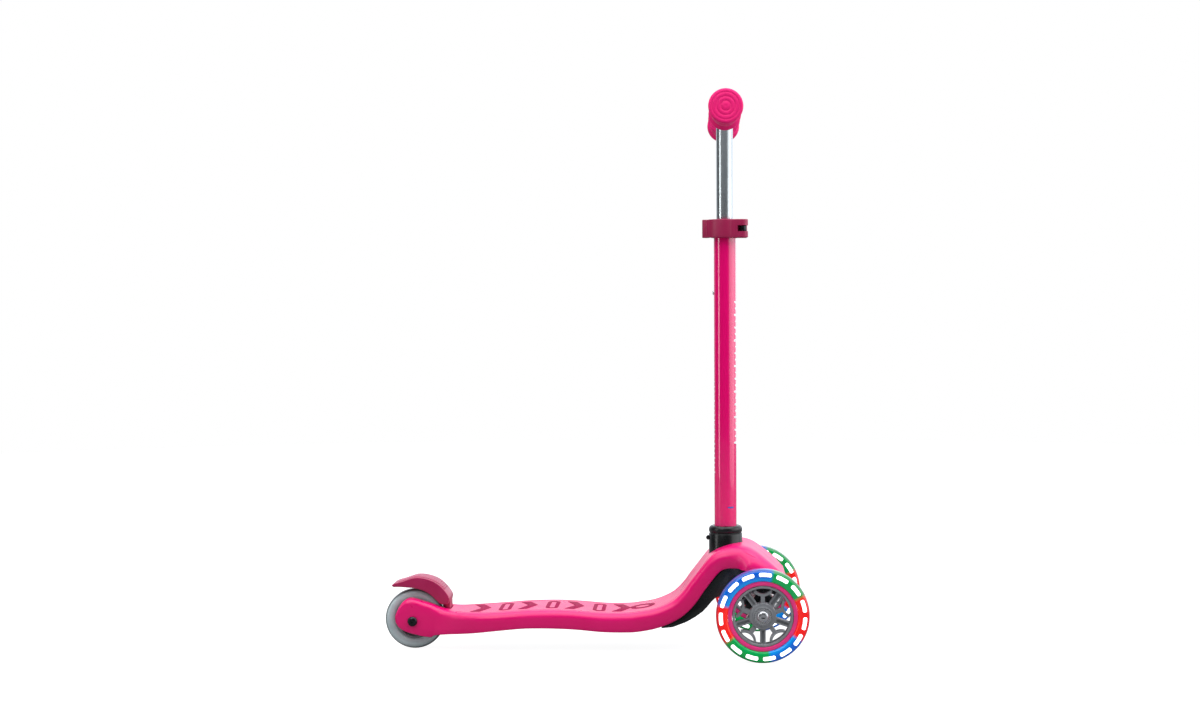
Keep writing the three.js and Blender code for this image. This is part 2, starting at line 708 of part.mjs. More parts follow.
function clampBolt() {
  const pin = revolve([
    [0, LEVER_PIVOT_Y + 5.6], [3, LEVER_PIVOT_Y + 5.6], [3, 8 + GAP], [5.4, 8 + GAP], [5.4, 11.4],
    [4.4, 12.4], [0, 12.4],
  ], SMALL);
  return pin.rotate([-90, 0, 0]).translate([TBAR_X + LEVER_PIVOT_X, 0, CLAMP_Z]);
}

function clampBarrel() {
  const h = CLAMP_HALF_HEIGHT - 3;
  const pin = rod(3.4, -h, h, SMALL);
  const block = rod(5, -3.6, 3.6, SMALL);
  return unite(pin, block).translate([TBAR_X + LEVER_PIVOT_X, LEVER_PIVOT_Y, CLAMP_Z]);
}

function clampLever() {
  const inner = CLAMP_R + 0.8;
  const outer = CLAMP_R + 5.5;
  const outline = [
    ...arc(LEVER_PIVOT_X, LEVER_PIVOT_Y, LEVER_CAM_R, 60, -90, 8),
    ...arc(0, 0, outer, -68, -165, 10),
    [-outer - 4.9, -4.4], [-outer - 5.9, 0.5], [-outer - 4.7, 4.6], [-outer - 1.1, 6.4],
    [-inner - 1.6, 4.6],
    ...arc(0, 0, inner, -178, -50, 14),
    [CLAMP_R - 2.8, -11],
  ];
  const h = CLAMP_HALF_HEIGHT;
  const body = prism(outline, -h, h);
  const hole = rod(3.4 + RUN_FIT, -h + 2.6, h - 2.6, SMALL).translate([LEVER_PIVOT_X, LEVER_PIVOT_Y, 0]);
  const slot = box([LEVER_PIVOT_X - 7, LEVER_PIVOT_Y - 20, -4], [LEVER_PIVOT_X + 20, 20, 4]);
  return cut(body, hole, slot).translate([TBAR_X, 0, CLAMP_Z]);
}

// ---- grips ----
function gripSolid() {
  const bore = INNER_TUBE_R + GAP;
  const mid = GRIP_R - 5.6;
  const inner = GRIP_END - 106;
  return revolve([
    [bore, inner], [GRIP_R - 1.8, inner], [GRIP_R - 0.8, inner + 1.2], [GRIP_R - 0.8, inner + 3.6],
    [mid, inner + 8], [mid + 1.4, inner + 34], [mid + 1.6, inner + 62], [mid, inner + 92],
    [GRIP_R, GRIP_END - 5], [GRIP_R, GRIP_END - 2.4], [GRIP_R - 1.6, GRIP_END], [0, GRIP_END],
    [0, BAR_HALF_LENGTH + GAP], [bore, BAR_HALF_LENGTH + GAP], [bore, inner],
  ].slice(0, -1), ROUND);
}

// ---- wheels: the axle is local Z, outward is +Z ----
function bearing(side, hubHalf) {
  const far = side * hubHalf;
  const near = side * (hubHalf - BEARING_WIDTH);
  return ring(AXLE_R + RUN_FIT, BEARING_R, Math.min(near, far), Math.max(near, far), SMALL);
}

function spacer(hubHalf) {
  const half = hubHalf - BEARING_WIDTH - GAP;
  return ring(AXLE_R + RUN_FIT, AXLE_R + 2.2, -half, half, SMALL);
}

function bearingSeats(hubHalf) {
  const seat = BEARING_R + RUN_FIT;
  const depth = hubHalf - BEARING_WIDTH - GAP;
  return unite(
    rod(seat, depth, 3 * hubHalf),
    rod(seat, -3 * hubHalf, -depth),
    rod(AXLE_R + 2.2 + GAP, -hubHalf, hubHalf, SMALL),
  );
}

const LIGHT_INNER = 0.7537;
const LIGHT_OUTER = 0.952;
const LIGHT_HALF = 8;
const HUB_RING_OUTER = 0.7488;
const HUB_RING_INNER = 0.6562;

function tyreSolid() {
  const r = FRONT_R;
  const h = WHEEL_WIDTH / 2;
  const bore = LIGHT_INNER * r;
  const pocket = LIGHT_OUTER * r + GAP;
  const side = [
    [bore, LIGHT_HALF + GAP], [bore, h - 2], [bore + 4.4, h - 0.4], [r - 4.5, h], [r - 1.3, h - 2.5],
    [r, h - 7],
  ];
  const mirrored = side.map(([radius, z]) => [radius, -z]).reverse();
  return revolve([
    ...side, ...mirrored, [pocket, -LIGHT_HALF - GAP], [pocket, LIGHT_HALF + GAP],
  ], WHEEL_SEGMENTS);
}

function lightRing() {
  return ring(LIGHT_INNER * FRONT_R, LIGHT_OUTER * FRONT_R, -LIGHT_HALF, LIGHT_HALF, WHEEL_SEGMENTS);
}

function hubRing() {
  return ring(HUB_RING_INNER * FRONT_R, HUB_RING_OUTER * FRONT_R, -9.6, 9.6, WHEEL_SEGMENTS);
}

function spun(body, count, start) {
  const turned = [];
  for (let k = 0; k < count; k += 1) {
    turned.push(body.rotate([0, 0, start + (360 * k) / count]));
  }
  return unite(...turned);
}

const SPOKE_COUNT = 5;

function frontRim() {
  const outer = HUB_RING_INNER * FRONT_R - GAP;
  const inner = outer - 3.4;
  const rim = ring(inner, outer, -9, 9, WHEEL_SEGMENTS);
  const hub = unite(rod(17, -6, 8.4, 10), rod(13, -FRONT_HUB_HALF, FRONT_HUB_HALF, ROUND));
  const straight = box([12, -3.6, -3], [inner + 1, 3.6, 7]);
  const groove = box([17.5, -1.8, 4.6], [inner - 0.6, 1.8, 20]);
  const cup = prism([
    ...arc(inner + 5, 0, 15.4, 128, 232, 6), ...arc(inner + 5, 0, 12.2, 236, 124, 6),
  ], -3, 7);
  const stem = box([12, -3, -3], [inner - 8.4, 3, 7]);
  const petals = spun(unite(stem, cup), SPOKE_COUNT, 18);
  const inside = rod(outer - 1, -30, 30, WHEEL_SEGMENTS);
  const whole = unite(rim, hub, spun(straight, SPOKE_COUNT, 54), petals.intersect(inside));
  return cut(whole, bearingSeats(FRONT_HUB_HALF), spun(groove, SPOKE_COUNT, 54));
}

function frontBolt() {
  const face = FRONT_HUB_HALF + GAP;
  const end = -(HALF_TRACK - KINGPIN_Y - 12);
  return revolve([
    [0, end], [AXLE_R, end], [AXLE_R, face], [7.7, face], [7.7, face + 1.6], [6, face + 3.8],
    [2.6, face + 4.4], [2.6, face + 1.6], [0, face + 1.6],
  ], SMALL);
}

function wheelGroup(side, label) {
  const made = group(`wheel_${label}`, [
    part(`tyre_${label}`, tyreSolid(), 'clear', 0.2),
    part(`light_ring_${label}`, lightRing(), 'light', 0.3),
    part(`hub_ring_${label}`, hubRing(), 'pink', 0.4),
    part(`rim_${label}`, frontRim(), 'grey', 0.5),
    part(`bearing_outer_${label}`, bearing(1, FRONT_HUB_HALF), 'steel', 0.3, 1),
    part(`bearing_inner_${label}`, bearing(-1, FRONT_HUB_HALF), 'steel', 0.3, 1),
    part(`wheel_spacer_${label}`, spacer(FRONT_HUB_HALF), 'steel', 0.4, 1),
    part(`axle_bolt_${label}`, frontBolt(), 'silver', 0.25, 1),
  ]);
  made.rotation.x = (-side * Math.PI) / 2;
  made.position.set(FRONT_X, side * HALF_TRACK, FRONT_R);
  return made;
}

const REAR_TYRE_BORE = 0.6675;

function rearTyre() {
  const r = REAR_R;
  const h = WHEEL_WIDTH / 2;
  const side = [[REAR_TYRE_BORE * r, h - 2.4], [r - 7, h], [r - 2, h - 2.6], [r, h - 7.5]];
  const mirrored = side.map(([radius, z]) => [radius, -z]).reverse();
  return revolve([...side, ...mirrored], WHEEL_SEGMENTS);
}

function rearCore() {
  const outer = REAR_TYRE_BORE * REAR_R - GAP;
  const body = unite(
    ring(outer - 3.2, outer, -9.4, 9.4, WHEEL_SEGMENTS),
    rod(outer - 1, -4, 4, WHEEL_SEGMENTS),
    rod(14, -REAR_HUB_HALF, REAR_HUB_HALF, ROUND),
  );
  const slot = box([16.6, -4.2, -20], [21, 4.2, 20]);
  return cut(body, bearingSeats(REAR_HUB_HALF), spun(slot, 6, 0));
}

function rearBolt() {
  const face = ARM_OUTER + GAP;
  return revolve([
    [0, -face - 5], [AXLE_R, -face - 5], [AXLE_R, face], [6.5, face], [6.5, face + 1.2],
    [4.8, face + 3.2], [2.4, face + 3.6], [2.4, face + 1.4], [0, face + 1.4],
  ], SMALL);
}

function rearNut() {
  const face = ARM_OUTER + GAP;
  return cut(rod(7, -face - 5.4, -face, 6), rod(AXLE_R + RUN_FIT, -60, 0, SMALL));
}

function rearWheelGroup() {
  const made = group('wheel_rear', [
    part('rear_tyre', rearTyre(), 'clear', 0.2),
    part('rear_core', rearCore(), 'grey', 0.5),
    part('rear_bearing_right', bearing(1, REAR_HUB_HALF), 'steel', 0.3, 1),
    part('rear_bearing_left', bearing(-1, REAR_HUB_HALF), 'steel', 0.3, 1),
    part('rear_spacer', spacer(REAR_HUB_HALF), 'steel', 0.4, 1),
    part('rear_axle_bolt', rearBolt(), 'black', 0.35, 0.6),
    part('rear_axle_nut', rearNut(), 'steel', 0.35, 1),
  ]);
  made.rotation.x = Math.PI / 2;
  made.position.set(REAR_X, 0, REAR_R);
  return made;
}

// ---- brake, forward of and above the rear axle ----
const BRAKE_TOP = [
  [-29.6, 47], [-24, 49.6], [-13.5, 52.4], [-3, 56], [5, 57.2], [16, 55.8], [28, 51.4], [38, 43.6],
  [45.6, 34], [48, 28.4], [46.2, 21],
];
const BRAKE_UNDER = [
  [39.5, 21], [35, 22.5], [29.5, 27.8], [22, 34.6], [13, 39.6], [2, 42.8], [-8, 43.8], [-18, 44.6],
  [-27, 44.6],
];
const BRAKE_PIN_R = 2;

function brakeFender() {
  const body = sidePrism([...BRAKE_TOP, ...BRAKE_UNDER], -BRAKE_HALF_WIDTH, BRAKE_HALF_WIDTH);
  const roof = BRAKE_TOP.slice(2, -1).map(([x, z]) => {
    const length = Math.hypot(x, z);
    return [x * (1 - BRAKE_WALL / length), z * (1 - BRAKE_WALL / length)];
  });
  const inside = BRAKE_HALF_WIDTH - BRAKE_WALL;
  const hollow = sidePrism([...roof, [41, 10], [0, 10], [-14, 40]], -inside, inside);
  const tyreRoom = acrossRod(REAR_R + 3.2, 0, 0, -15, 15, WHEEL_SEGMENTS);
  const tongueHalf = SLOT_HALF_WIDTH - 1;
  const tongue = sidePrism([
    [47.6, 27], [48.2, 9.6], [42, 9.6], [41.4, 14], [41.4, 22], [43, 30],
  ], -tongueHalf, tongueHalf);
  const pin = acrossRod(BRAKE_PIN_R + RUN_FIT, BRAKE_PIN_X, BRAKE_PIN_Z, -30, 30);
  return cut(unite(cut(body, hollow), tongue), tyreRoom, pin).translate([REAR_X, 0, REAR_R]);
}

function brakePin() {
  return acrossRod(BRAKE_PIN_R, REAR_X + BRAKE_PIN_X, REAR_R + BRAKE_PIN_Z, -24, 24);
}

function brakeSpring() {
  const x = REAR_X + SLOT_FRONT - 0.3;
  return box([x - 0.5, -5, REAR_R - 2], [x, 5, REAR_R + 8.8]);
}

// ---- the whole scooter ----
function deckGroup() {
  return group('deck', [
    part('deck_shell', finishedShell(), 'pink', 0.45),
    part('deck_underplate', underplateSolid(), 'black', 0.7),
    ...SCREW_PLACES.map((place, i) => part(`deck_screw_${i + 1}`, screwSolid(place), 'steel', 0.4, 1)),
    part('head_housing', housingSolid(), 'black', 0.6),
    part('steering_collar', collarSolid(), 'black', 0.4),
    part('release_button', releaseButton(), 'black', 0.4),
    part('brake_pin', brakePin(), 'steel', 0.4, 1),
    part('brake_spring', brakeSpring(), 'steel', 0.4, 1),
    part('brake_fender', brakeFender(), 'darkPink', 0.5),
  ]);
}

function truckGroup() {
  const sides = [[1, 'left'], [-1, 'right']];
  return group('truck', [
    ...sides.flatMap(([side, label]) => [
      part(`knuckle_${label}`, knuckleSolid(side), 'black', 0.6),
      part(`kingpin_${label}`, kingpinSolid(side), 'steel', 0.35, 1),
      part(`centring_spring_${label}`, centringSpring(side), 'steel', 0.4, 1),
    ]),
    part('tie_rod', tieRodSolid(), 'steel', 0.45, 1),
  ]);
}

function gripMesh(side, label) {
  const mesh = part(`grip_${label}`, gripSolid(), 'pink', 0.75);
  mesh.rotation.x = (-side * Math.PI) / 2;
  mesh.position.set(TBAR_X, 0, BAR_HEIGHT);
  return mesh;
}

function columnGroup() {
  return group('steering_column', [
    part('outer_tube', outerTube(), 'pink', 0.35),
    part('tube_plug', tubePlug(), 'black', 0.7),
    part('latch_clip', latchClip(), 'steel', 0.35, 1),
    part('top_bush', topBush(), 'black', 0.7),
    part('clamp_ring', clampRing(), 'darkPink', 0.5),
    part('clamp_bolt', clampBolt(), 'steel', 0.3, 1),
    part('clamp_barrel', clampBarrel(), 'black', 0.4, 0.6),
    part('clamp_lever', clampLever(), 'darkPink', 0.5),
    part('t_bar', tBar(), 'silver', 0.3, 1),
    part('foot_bush', footBush(), 'black', 0.7),
    part('height_button', heightButton(), 'silver', 0.25, 1),
    part('height_clip', heightClip(), 'steel', 0.35, 1),
    gripMesh(1, 'left'),
    gripMesh(-1, 'right'),
  ]);
}

const scooter = group('kick_scooter', [
  deckGroup(),
  truckGroup(),
  columnGroup(),
  wheelGroup(1, 'left'),
  wheelGroup(-1, 'right'),
  rearWheelGroup(),
]);

export default scooter;
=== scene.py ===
# %% [markdown]
# # A child's three-wheeled kick scooter
# The moving frame of this scooter is already designed. This lesson dresses it. Every new
# piece takes its place from the frame, in metres, and rides on one of the frame's bodies, so
# that it turns, slides or swings with the real mechanism.

# %% Open the frame
import math

import bpy
from mathutils import Matrix, Vector


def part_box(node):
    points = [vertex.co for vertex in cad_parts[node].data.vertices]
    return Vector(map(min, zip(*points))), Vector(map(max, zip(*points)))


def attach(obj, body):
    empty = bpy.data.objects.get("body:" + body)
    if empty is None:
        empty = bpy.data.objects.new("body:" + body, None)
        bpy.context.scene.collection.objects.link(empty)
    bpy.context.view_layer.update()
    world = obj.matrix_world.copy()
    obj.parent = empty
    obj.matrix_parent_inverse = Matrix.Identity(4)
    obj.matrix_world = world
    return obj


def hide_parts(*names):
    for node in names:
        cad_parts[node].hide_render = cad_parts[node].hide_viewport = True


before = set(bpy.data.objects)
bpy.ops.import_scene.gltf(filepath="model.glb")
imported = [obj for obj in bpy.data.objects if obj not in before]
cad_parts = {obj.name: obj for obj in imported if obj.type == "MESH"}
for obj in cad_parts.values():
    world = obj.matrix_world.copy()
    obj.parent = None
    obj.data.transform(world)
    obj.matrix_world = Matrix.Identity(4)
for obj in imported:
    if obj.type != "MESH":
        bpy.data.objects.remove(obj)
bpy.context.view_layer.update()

MM = 0.001


def middle(node):
    """The centre of a frame node."""
    low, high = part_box(node)
    return (low + high) / 2


FRONT = middle("tyre_left")
REAR = middle("rear_tyre")
STEM = middle("outer_tube")
BAR_Z = middle("grip_left").z
print("front axle", FRONT, "rear axle", REAR, "steering tube", STEM)

# %% [markdown]
# ## A few bench tools
# Blender's operators act on whatever is selected, so each step starts from an empty
# selection. These short helpers do what a modeller does by hand: pick one piece, apply a
# modifier, round the edges, join two pieces, and put a finished piece in its place with its
# own origin back at zero.


# %% Pick, place and finish a piece
def deselect():
    if bpy.context.object and bpy.context.object.mode != "OBJECT":
        bpy.ops.object.mode_set(mode="OBJECT")
    bpy.ops.object.select_all(action="DESELECT")


def pick(piece):
    deselect()
    piece.hide_set(False)
    piece.select_set(True)
    bpy.context.view_layer.objects.active = piece
    return piece


def settle(piece, place=(0, 0, 0), turn=(0, 0, 0)):
    """Turns a piece about its origin, moves it, and writes both into its mesh."""
    pick(piece)
    piece.rotation_euler = turn
    piece.location = place
    bpy.ops.object.transform_apply(location=True, rotation=True, scale=True)
    return piece


def apply_last(piece):
    pick(piece)
    bpy.ops.object.modifier_apply(modifier=piece.modifiers[-1].name)
    return piece


def smooth(piece, angle=32):
    pick(piece)
    bpy.ops.object.shade_smooth_by_angle(angle=math.radians(angle))
    return piece


def round_edges(piece, width, segments=3, angle=35):
    """Rolls a small radius onto every edge sharper than the angle."""
    bevel = piece.modifiers.new("rounded", "BEVEL")
    bevel.width = width
    bevel.segments = segments
    bevel.limit_method = "ANGLE"
    bevel.angle_limit = math.radians(angle)
    bevel.use_clamp_overlap = True
    return apply_last(piece)


def carve(piece, tool, operation="DIFFERENCE"):
    """Cuts a tool out of a piece, or adds it, and takes the tool away."""
    boolean = piece.modifiers.new("carved", "BOOLEAN")
    boolean.operation = operation
    boolean.object = tool
    boolean.solver = "EXACT"
    apply_last(piece)
    bpy.data.objects.remove(tool)
    return piece


def join(pieces, name):
    deselect()
    for piece in pieces:
        piece.select_set(True)
    bpy.context.view_layer.objects.active = pieces[0]
    bpy.ops.object.join()
    pieces[0].name = name
    return pieces[0]


def copied(piece, name):
    """A copy with a mesh of its own."""
    twin = piece.copy()
    twin.data = piece.data.copy()
    twin.name = name
    bpy.context.collection.objects.link(twin)
    return twin


def report(piece):
    size = [round(value / MM, 1) for value in piece.dimensions]
    print(f"{piece.name}: {size} mm, {len(piece.data.polygons)} faces")


# %% [markdown]
# Wheels, grips, tubes and collars are turned parts. A lathe cuts them from a profile, and so
# does the Spin operator: one vertex is extruded along the half-outline, and the outline is
# spun a full turn. Flat brackets and levers are cut from plate: an outline is filled and
# extruded to its thickness.


# %% Turn a profile, or cut an outline from plate
def turned(name, profile, steps=96, place=(0, 0, 0), turn=(0, 0, 0)):
    """Spins a profile of (radius, along) points, in millimetres, about the Z axis."""
    deselect()
    bpy.ops.mesh.primitive_plane_add(size=0.001)
    piece = bpy.context.object
    piece.name = name
    bpy.ops.object.mode_set(mode="EDIT")
    bpy.ops.mesh.select_all(action="SELECT")
    bpy.ops.mesh.merge(type="CENTER")
    bpy.ops.transform.translate(value=(profile[0][0] * MM, 0, profile[0][1] * MM))
    for before, after in zip(profile, profile[1:]):
        step = ((after[0] - before[0]) * MM, 0, (after[1] - before[1]) * MM)
        bpy.ops.mesh.extrude_vertices_move(TRANSFORM_OT_translate={"value": step})
    bpy.ops.mesh.select_all(action="SELECT")
    bpy.ops.mesh.spin(steps=steps, angle=2 * math.pi, center=(0, 0, 0), axis=(0, 0, 1))
    bpy.ops.mesh.select_all(action="SELECT")
    bpy.ops.mesh.remove_doubles(threshold=2e-6)
    bpy.ops.mesh.normals_make_consistent(inside=False)
    bpy.ops.object.mode_set(mode="OBJECT")
    return settle(piece, place, turn)


def plate(name, outline, low, high, place=(0, 0, 0), turn=(0, 0, 0)):
    """Fills an outline of (x, y) points, in millimetres, and extrudes it along Z."""
    deselect()
    bpy.ops.mesh.primitive_circle_add(vertices=len(outline), fill_type="NGON")
    piece = bpy.context.object
    piece.name = name
    for vertex, (x, y) in zip(piece.data.vertices, outline):
        vertex.co = (x * MM, y * MM, low * MM)
    bpy.ops.object.mode_set(mode="EDIT")
    bpy.ops.mesh.select_all(action="SELECT")
    rise = {"value": (0, 0, (high - low) * MM)}
    bpy.ops.mesh.extrude_region_move(TRANSFORM_OT_translate=rise)
    bpy.ops.mesh.select_all(action="SELECT")
    bpy.ops.mesh.normals_make_consistent(inside=False)
    bpy.ops.object.mode_set(mode="OBJECT")
    return settle(piece, place, turn)


def block(name, low, high):
    """A box between two corners, in metres, used to cut with."""
    deselect()
    centre = (Vector(low) + Vector(high)) / 2
    bpy.ops.mesh.primitive_cube_add(size=1, location=centre)
    piece = bpy.context.object
    piece.name = name
    piece.scale = Vector(high) - Vector(low)
    bpy.ops.object.transform_apply(location=True, rotation=True, scale=True)
    return piece


def bow(cx, cy, radius, start, end, steps):
    """Points on an arc, from one angle to another, in degrees."""
    points = []
    for i in range(steps + 1):
        angle = math.radians(start + (end - start) * i / steps)
        points.append((cx + radius * math.cos(angle), cy + radius * math.sin(angle)))
    return points


def flowing(rows, spacing):
    """A smooth curve through rows of numbers: the first two of each row are its place."""
    result = []
    for i in range(len(rows) - 1):
        before = rows[max(i - 1, 0)]
        a, b = rows[i], rows[i + 1]
        after = rows[min(i + 2, len(rows) - 1)]
        length = math.hypot(b[0] - a[0], b[1] - a[1])
        count = max(2, round(length / spacing))
        for k in range(count):
            t = k / count
            result.append([
                0.5 * (2 * q + (r - p) * t + (2 * p - 5 * q + 4 * r - s) * t * t
                       + (3 * q - p - 3 * r + s) * t ** 3)
                for p, q, r, s in zip(before, a, b, after)])
    result.append(list(rows[-1]))
    return result


SIDEWAYS = {"left": (-math.pi / 2, 0, 0), "right": (math.pi / 2, 0, 0)}
print("bench tools ready")

# %% [markdown]
# ## Surface effects shared by several finishes
# Real plastic is never one flat colour. It has a fine spark-eroded grain from the mould, its
# gloss is uneven where hands and shoes have rubbed it, and its edges catch small scuffs. Each
# of these effects is a node group, built once and placed in every material that needs it
# with its own scale.


# %% Build the shared node groups
def new_group(name, inputs, outputs):
    group = bpy.data.node_groups.new(name, "ShaderNodeTree")
    for label, kind, value in inputs:
        socket = group.interface.new_socket(label, in_out="INPUT", socket_type=kind)
        if value is not None:
            socket.default_value = value
    for label, kind in outputs:
        group.interface.new_socket(label, in_out="OUTPUT", socket_type=kind)
    start = group.nodes.new("NodeGroupInput")
    end = group.nodes.new("NodeGroupOutput")
    return group, start, end


def node(tree, kind, **settings):
    made = tree.nodes.new(kind)
    for key, value in settings.items():
        if key in made.inputs:
            made.inputs[key].default_value = value
        else:
            setattr(made, key, value)
    return made


def wire(tree, source, target):
    tree.links.new(source, target)


FLOAT, VECTOR = "NodeSocketFloat", "NodeSocketVector"


def build_grain():
    """Fine mould grain: a height for the bump, from two sizes of noise."""
    group, start, end = new_group(
        "mould_grain", [("Vector", VECTOR, None), ("Scale", FLOAT, 1400.0)], [("Height", FLOAT)])
    fine = node(group, "ShaderNodeTexNoise", Detail=3.0, Roughness=0.6)
    cells = node(group, "ShaderNodeTexVoronoi", feature="SMOOTH_F1")
    coarse = node(group, "ShaderNodeMath", operation="MULTIPLY")
    coarse.inputs[1].default_value = 0.7
    total = node(group, "ShaderNodeMath", operation="MULTIPLY_ADD")
    total.inputs[1].default_value = 0.5
    for texture in (fine, cells):
        wire(group, start.outputs["Vector"], texture.inputs["Vector"])
    wire(group, start.outputs["Scale"], fine.inputs["Scale"])
    wire(group, start.outputs["Scale"], coarse.inputs[0])
    wire(group, coarse.outputs[0], cells.inputs["Scale"])
    wire(group, cells.outputs["Distance"], total.inputs[0])
    wire(group, fine.outputs["Fac"], total.inputs[2])
    wire(group, total.outputs[0], end.inputs["Height"])
    return group


def build_rub():
    """Cloudy patches, from 0 to 1, for uneven gloss and a slight drift of colour."""
    group, start, end = new_group(
        "handling_rub", [("Vector", VECTOR, None), ("Scale", FLOAT, 22.0)], [("Mask", FLOAT)])
    cloud = node(group, "ShaderNodeTexNoise", Detail=5.0, Roughness=0.62, Distortion=0.4)
    spread = node(group, "ShaderNodeMapRange")
    spread.inputs["From Min"].default_value = 0.3
    spread.inputs["From Max"].default_value = 0.7
    wire(group, start.outputs["Vector"], cloud.inputs["Vector"])
    wire(group, start.outputs["Scale"], cloud.inputs["Scale"])
    wire(group, cloud.outputs["Fac"], spread.inputs["Value"])
    wire(group, spread.outputs["Result"], end.inputs["Mask"])
    return group


def build_wear():
    """Scuffs that gather on convex edges, broken up by noise."""
    group, start, end = new_group(
        "edge_wear", [("Vector", VECTOR, None), ("Scale", FLOAT, 160.0)], [("Mask", FLOAT)])
    shape = node(group, "ShaderNodeNewGeometry")
    edge = node(group, "ShaderNodeMapRange")
    edge.inputs["From Min"].default_value = 0.53
    edge.inputs["From Max"].default_value = 0.62
    breakup = node(group, "ShaderNodeTexNoise", Detail=4.0, Roughness=0.7)
    patches = node(group, "ShaderNodeMapRange")
    patches.inputs["From Min"].default_value = 0.45
    patches.inputs["From Max"].default_value = 0.68
    both = node(group, "ShaderNodeMath", operation="MULTIPLY")
    wire(group, start.outputs["Vector"], breakup.inputs["Vector"])
    wire(group, start.outputs["Scale"], breakup.inputs["Scale"])
    wire(group, shape.outputs["Pointiness"], edge.inputs["Value"])
    wire(group, breakup.outputs["Fac"], patches.inputs["Value"])
    wire(group, edge.outputs["Result"], both.inputs[0])
    wire(group, patches.outputs["Result"], both.inputs[1])
    wire(group, both.outputs[0], end.inputs["Mask"])
    return group


def build_brushing():
    """Long fine scratches along one axis, as drawn or brushed metal has."""
    group, start, end = new_group(
        "brushing", [("Vector", VECTOR, None), ("Scale", FLOAT, 900.0)], [("Height", FLOAT)])
    lines = node(group, "ShaderNodeTexNoise", Detail=4.0, Roughness=0.7)
    wire(group, start.outputs["Vector"], lines.inputs["Vector"])
    wire(group, start.outputs["Scale"], lines.inputs["Scale"])
    wire(group, lines.outputs["Fac"], end.inputs["Height"])
    return group


GRAIN, RUB, WEAR, BRUSHING = build_grain(), build_rub(), build_wear(), build_brushing()
print("node groups:", [group.name for group in bpy.data.node_groups])


# %% [markdown]
# ## The finishes
# One function mixes a base colour with a slightly lighter, rubbed version of itself, lightens
# the edges, and turns the grain into bump. Gloss and coat are plain numbers on the shader.


# %% A moulded or painted finish
def grouped(tree, group, coords, scale):
    made = tree.nodes.new("ShaderNodeGroup")
    made.node_tree = group
    made.inputs["Scale"].default_value = scale
    wire(tree, coords, made.inputs["Vector"])
    return made


def blended(tree, factor, first, second):
    """A mix of two colours by a mask. Either colour may be a socket or four numbers."""
    mix = node(tree, "ShaderNodeMix", data_type="RGBA")
    wire(tree, factor, mix.inputs["Factor"])
    for socket, value in ((mix.inputs[6], first), (mix.inputs[7], second)):
        if isinstance(value, bpy.types.NodeSocket):
            wire(tree, value, socket)
        else:
            socket.default_value = value
    return mix.outputs[2]


def ranged(tree, value, low, high):
    spread = node(tree, "ShaderNodeMapRange")
    spread.inputs["To Min"].default_value = low
    spread.inputs["To Max"].default_value = high
    wire(tree, value, spread.inputs["Value"])
    return spread.outputs["Result"]


def new_material(name):
    material = bpy.data.materials.new(name)
    material.use_nodes = True
    tree = material.node_tree
    shader = tree.nodes["Principled BSDF"]
    coords = tree.nodes.new("ShaderNodeTexCoord").outputs["Object"]
    return material, tree, shader, coords


def finish(name, colour, rubbed, worn, gloss, grain=1400.0, relief=0.15, rub=22.0,
           metallic=0.0, coat=0.0, ior=1.5, depth=0.00005):
    """gloss is the lowest and highest roughness; relief is the strength of the grain."""
    material, tree, shader, coords = new_material(name)
    rubbing = grouped(tree, RUB, coords, rub).outputs["Mask"]
    wear = grouped(tree, WEAR, coords, rub * 7).outputs["Mask"]
    body = blended(tree, rubbing, (*colour, 1), (*rubbed, 1))
    wire(tree, blended(tree, wear, body, (*worn, 1)), shader.inputs["Base Color"])
    wire(tree, ranged(tree, rubbing, *gloss), shader.inputs["Roughness"])
    bump = node(tree, "ShaderNodeBump")
    bump.inputs["Strength"].default_value = relief
    bump.inputs["Distance"].default_value = depth
    wire(tree, grouped(tree, GRAIN, coords, grain).outputs["Height"], bump.inputs["Height"])
    wire(tree, bump.outputs["Normal"], shader.inputs["Normal"])
    shader.inputs["Metallic"].default_value = metallic
    shader.inputs["Coat Weight"].default_value = coat
    shader.inputs["IOR"].default_value = ior
    return material


PINK = (0.87, 0.0, 0.165)
PINK_PALE = (0.9, 0.001, 0.185)
# This pale pink is edge wear, and also the painted highlight on the deck's dot tops.
PINK_WEAR_AND_DOT_HIGHLIGHT = (0.9, 0.12, 0.32)

paint_pink = finish("paint_pink", (0.88, 0.0, 0.16), (0.9, 0.001, 0.175),
                    (0.9, 0.002, 0.18), (0.14, 0.18), grain=500.0, relief=0.006, rub=5.0,
                    coat=1.0)
grip_pink = finish("grip_pink", (0.93, 0.004, 0.18), (0.95, 0.008, 0.21), (0.9, 0.06, 0.28),
                   (0.5, 0.64), grain=2200.0, relief=0.2, ior=1.4)
ring_pink = finish("ring_pink", (0.95, 0.03, 0.24), (0.97, 0.05, 0.28), PINK_WEAR_AND_DOT_HIGHLIGHT, (0.3, 0.42))
berry = finish("berry", (0.33, 0.004, 0.06), (0.38, 0.007, 0.08), (0.55, 0.06, 0.17),
               (0.38, 0.5), grain=1900.0, relief=0.12)
mark_berry = finish("mark_berry", (0.3, 0.002, 0.055), (0.34, 0.004, 0.07), (0.4, 0.02, 0.1),
                    (0.6, 0.72), grain=1900.0, relief=0.1, ior=1.2)
brake_berry = finish("brake_berry", (0.36, 0.006, 0.07), (0.43, 0.014, 0.1),
                     (0.6, 0.09, 0.22), (0.28, 0.42), grain=1600.0, relief=0.1)
black_plastic = finish("black_plastic", (0.003, 0.005, 0.005), (0.006, 0.008, 0.009),
                       (0.02, 0.023, 0.025), (0.2, 0.3), grain=1500.0, relief=0.08, ior=1.45)
rim_grey = finish("rim_grey", (0.2, 0.208, 0.225), (0.25, 0.26, 0.275), (0.42, 0.43, 0.45),
                  (0.3, 0.44), grain=1700.0, relief=0.15)
core_grey = finish("core_grey", (0.2, 0.21, 0.22), (0.27, 0.28, 0.29), (0.45, 0.46, 0.48),
                   (0.34, 0.48), grain=1500.0, relief=0.2)
print("moulded finishes ready")


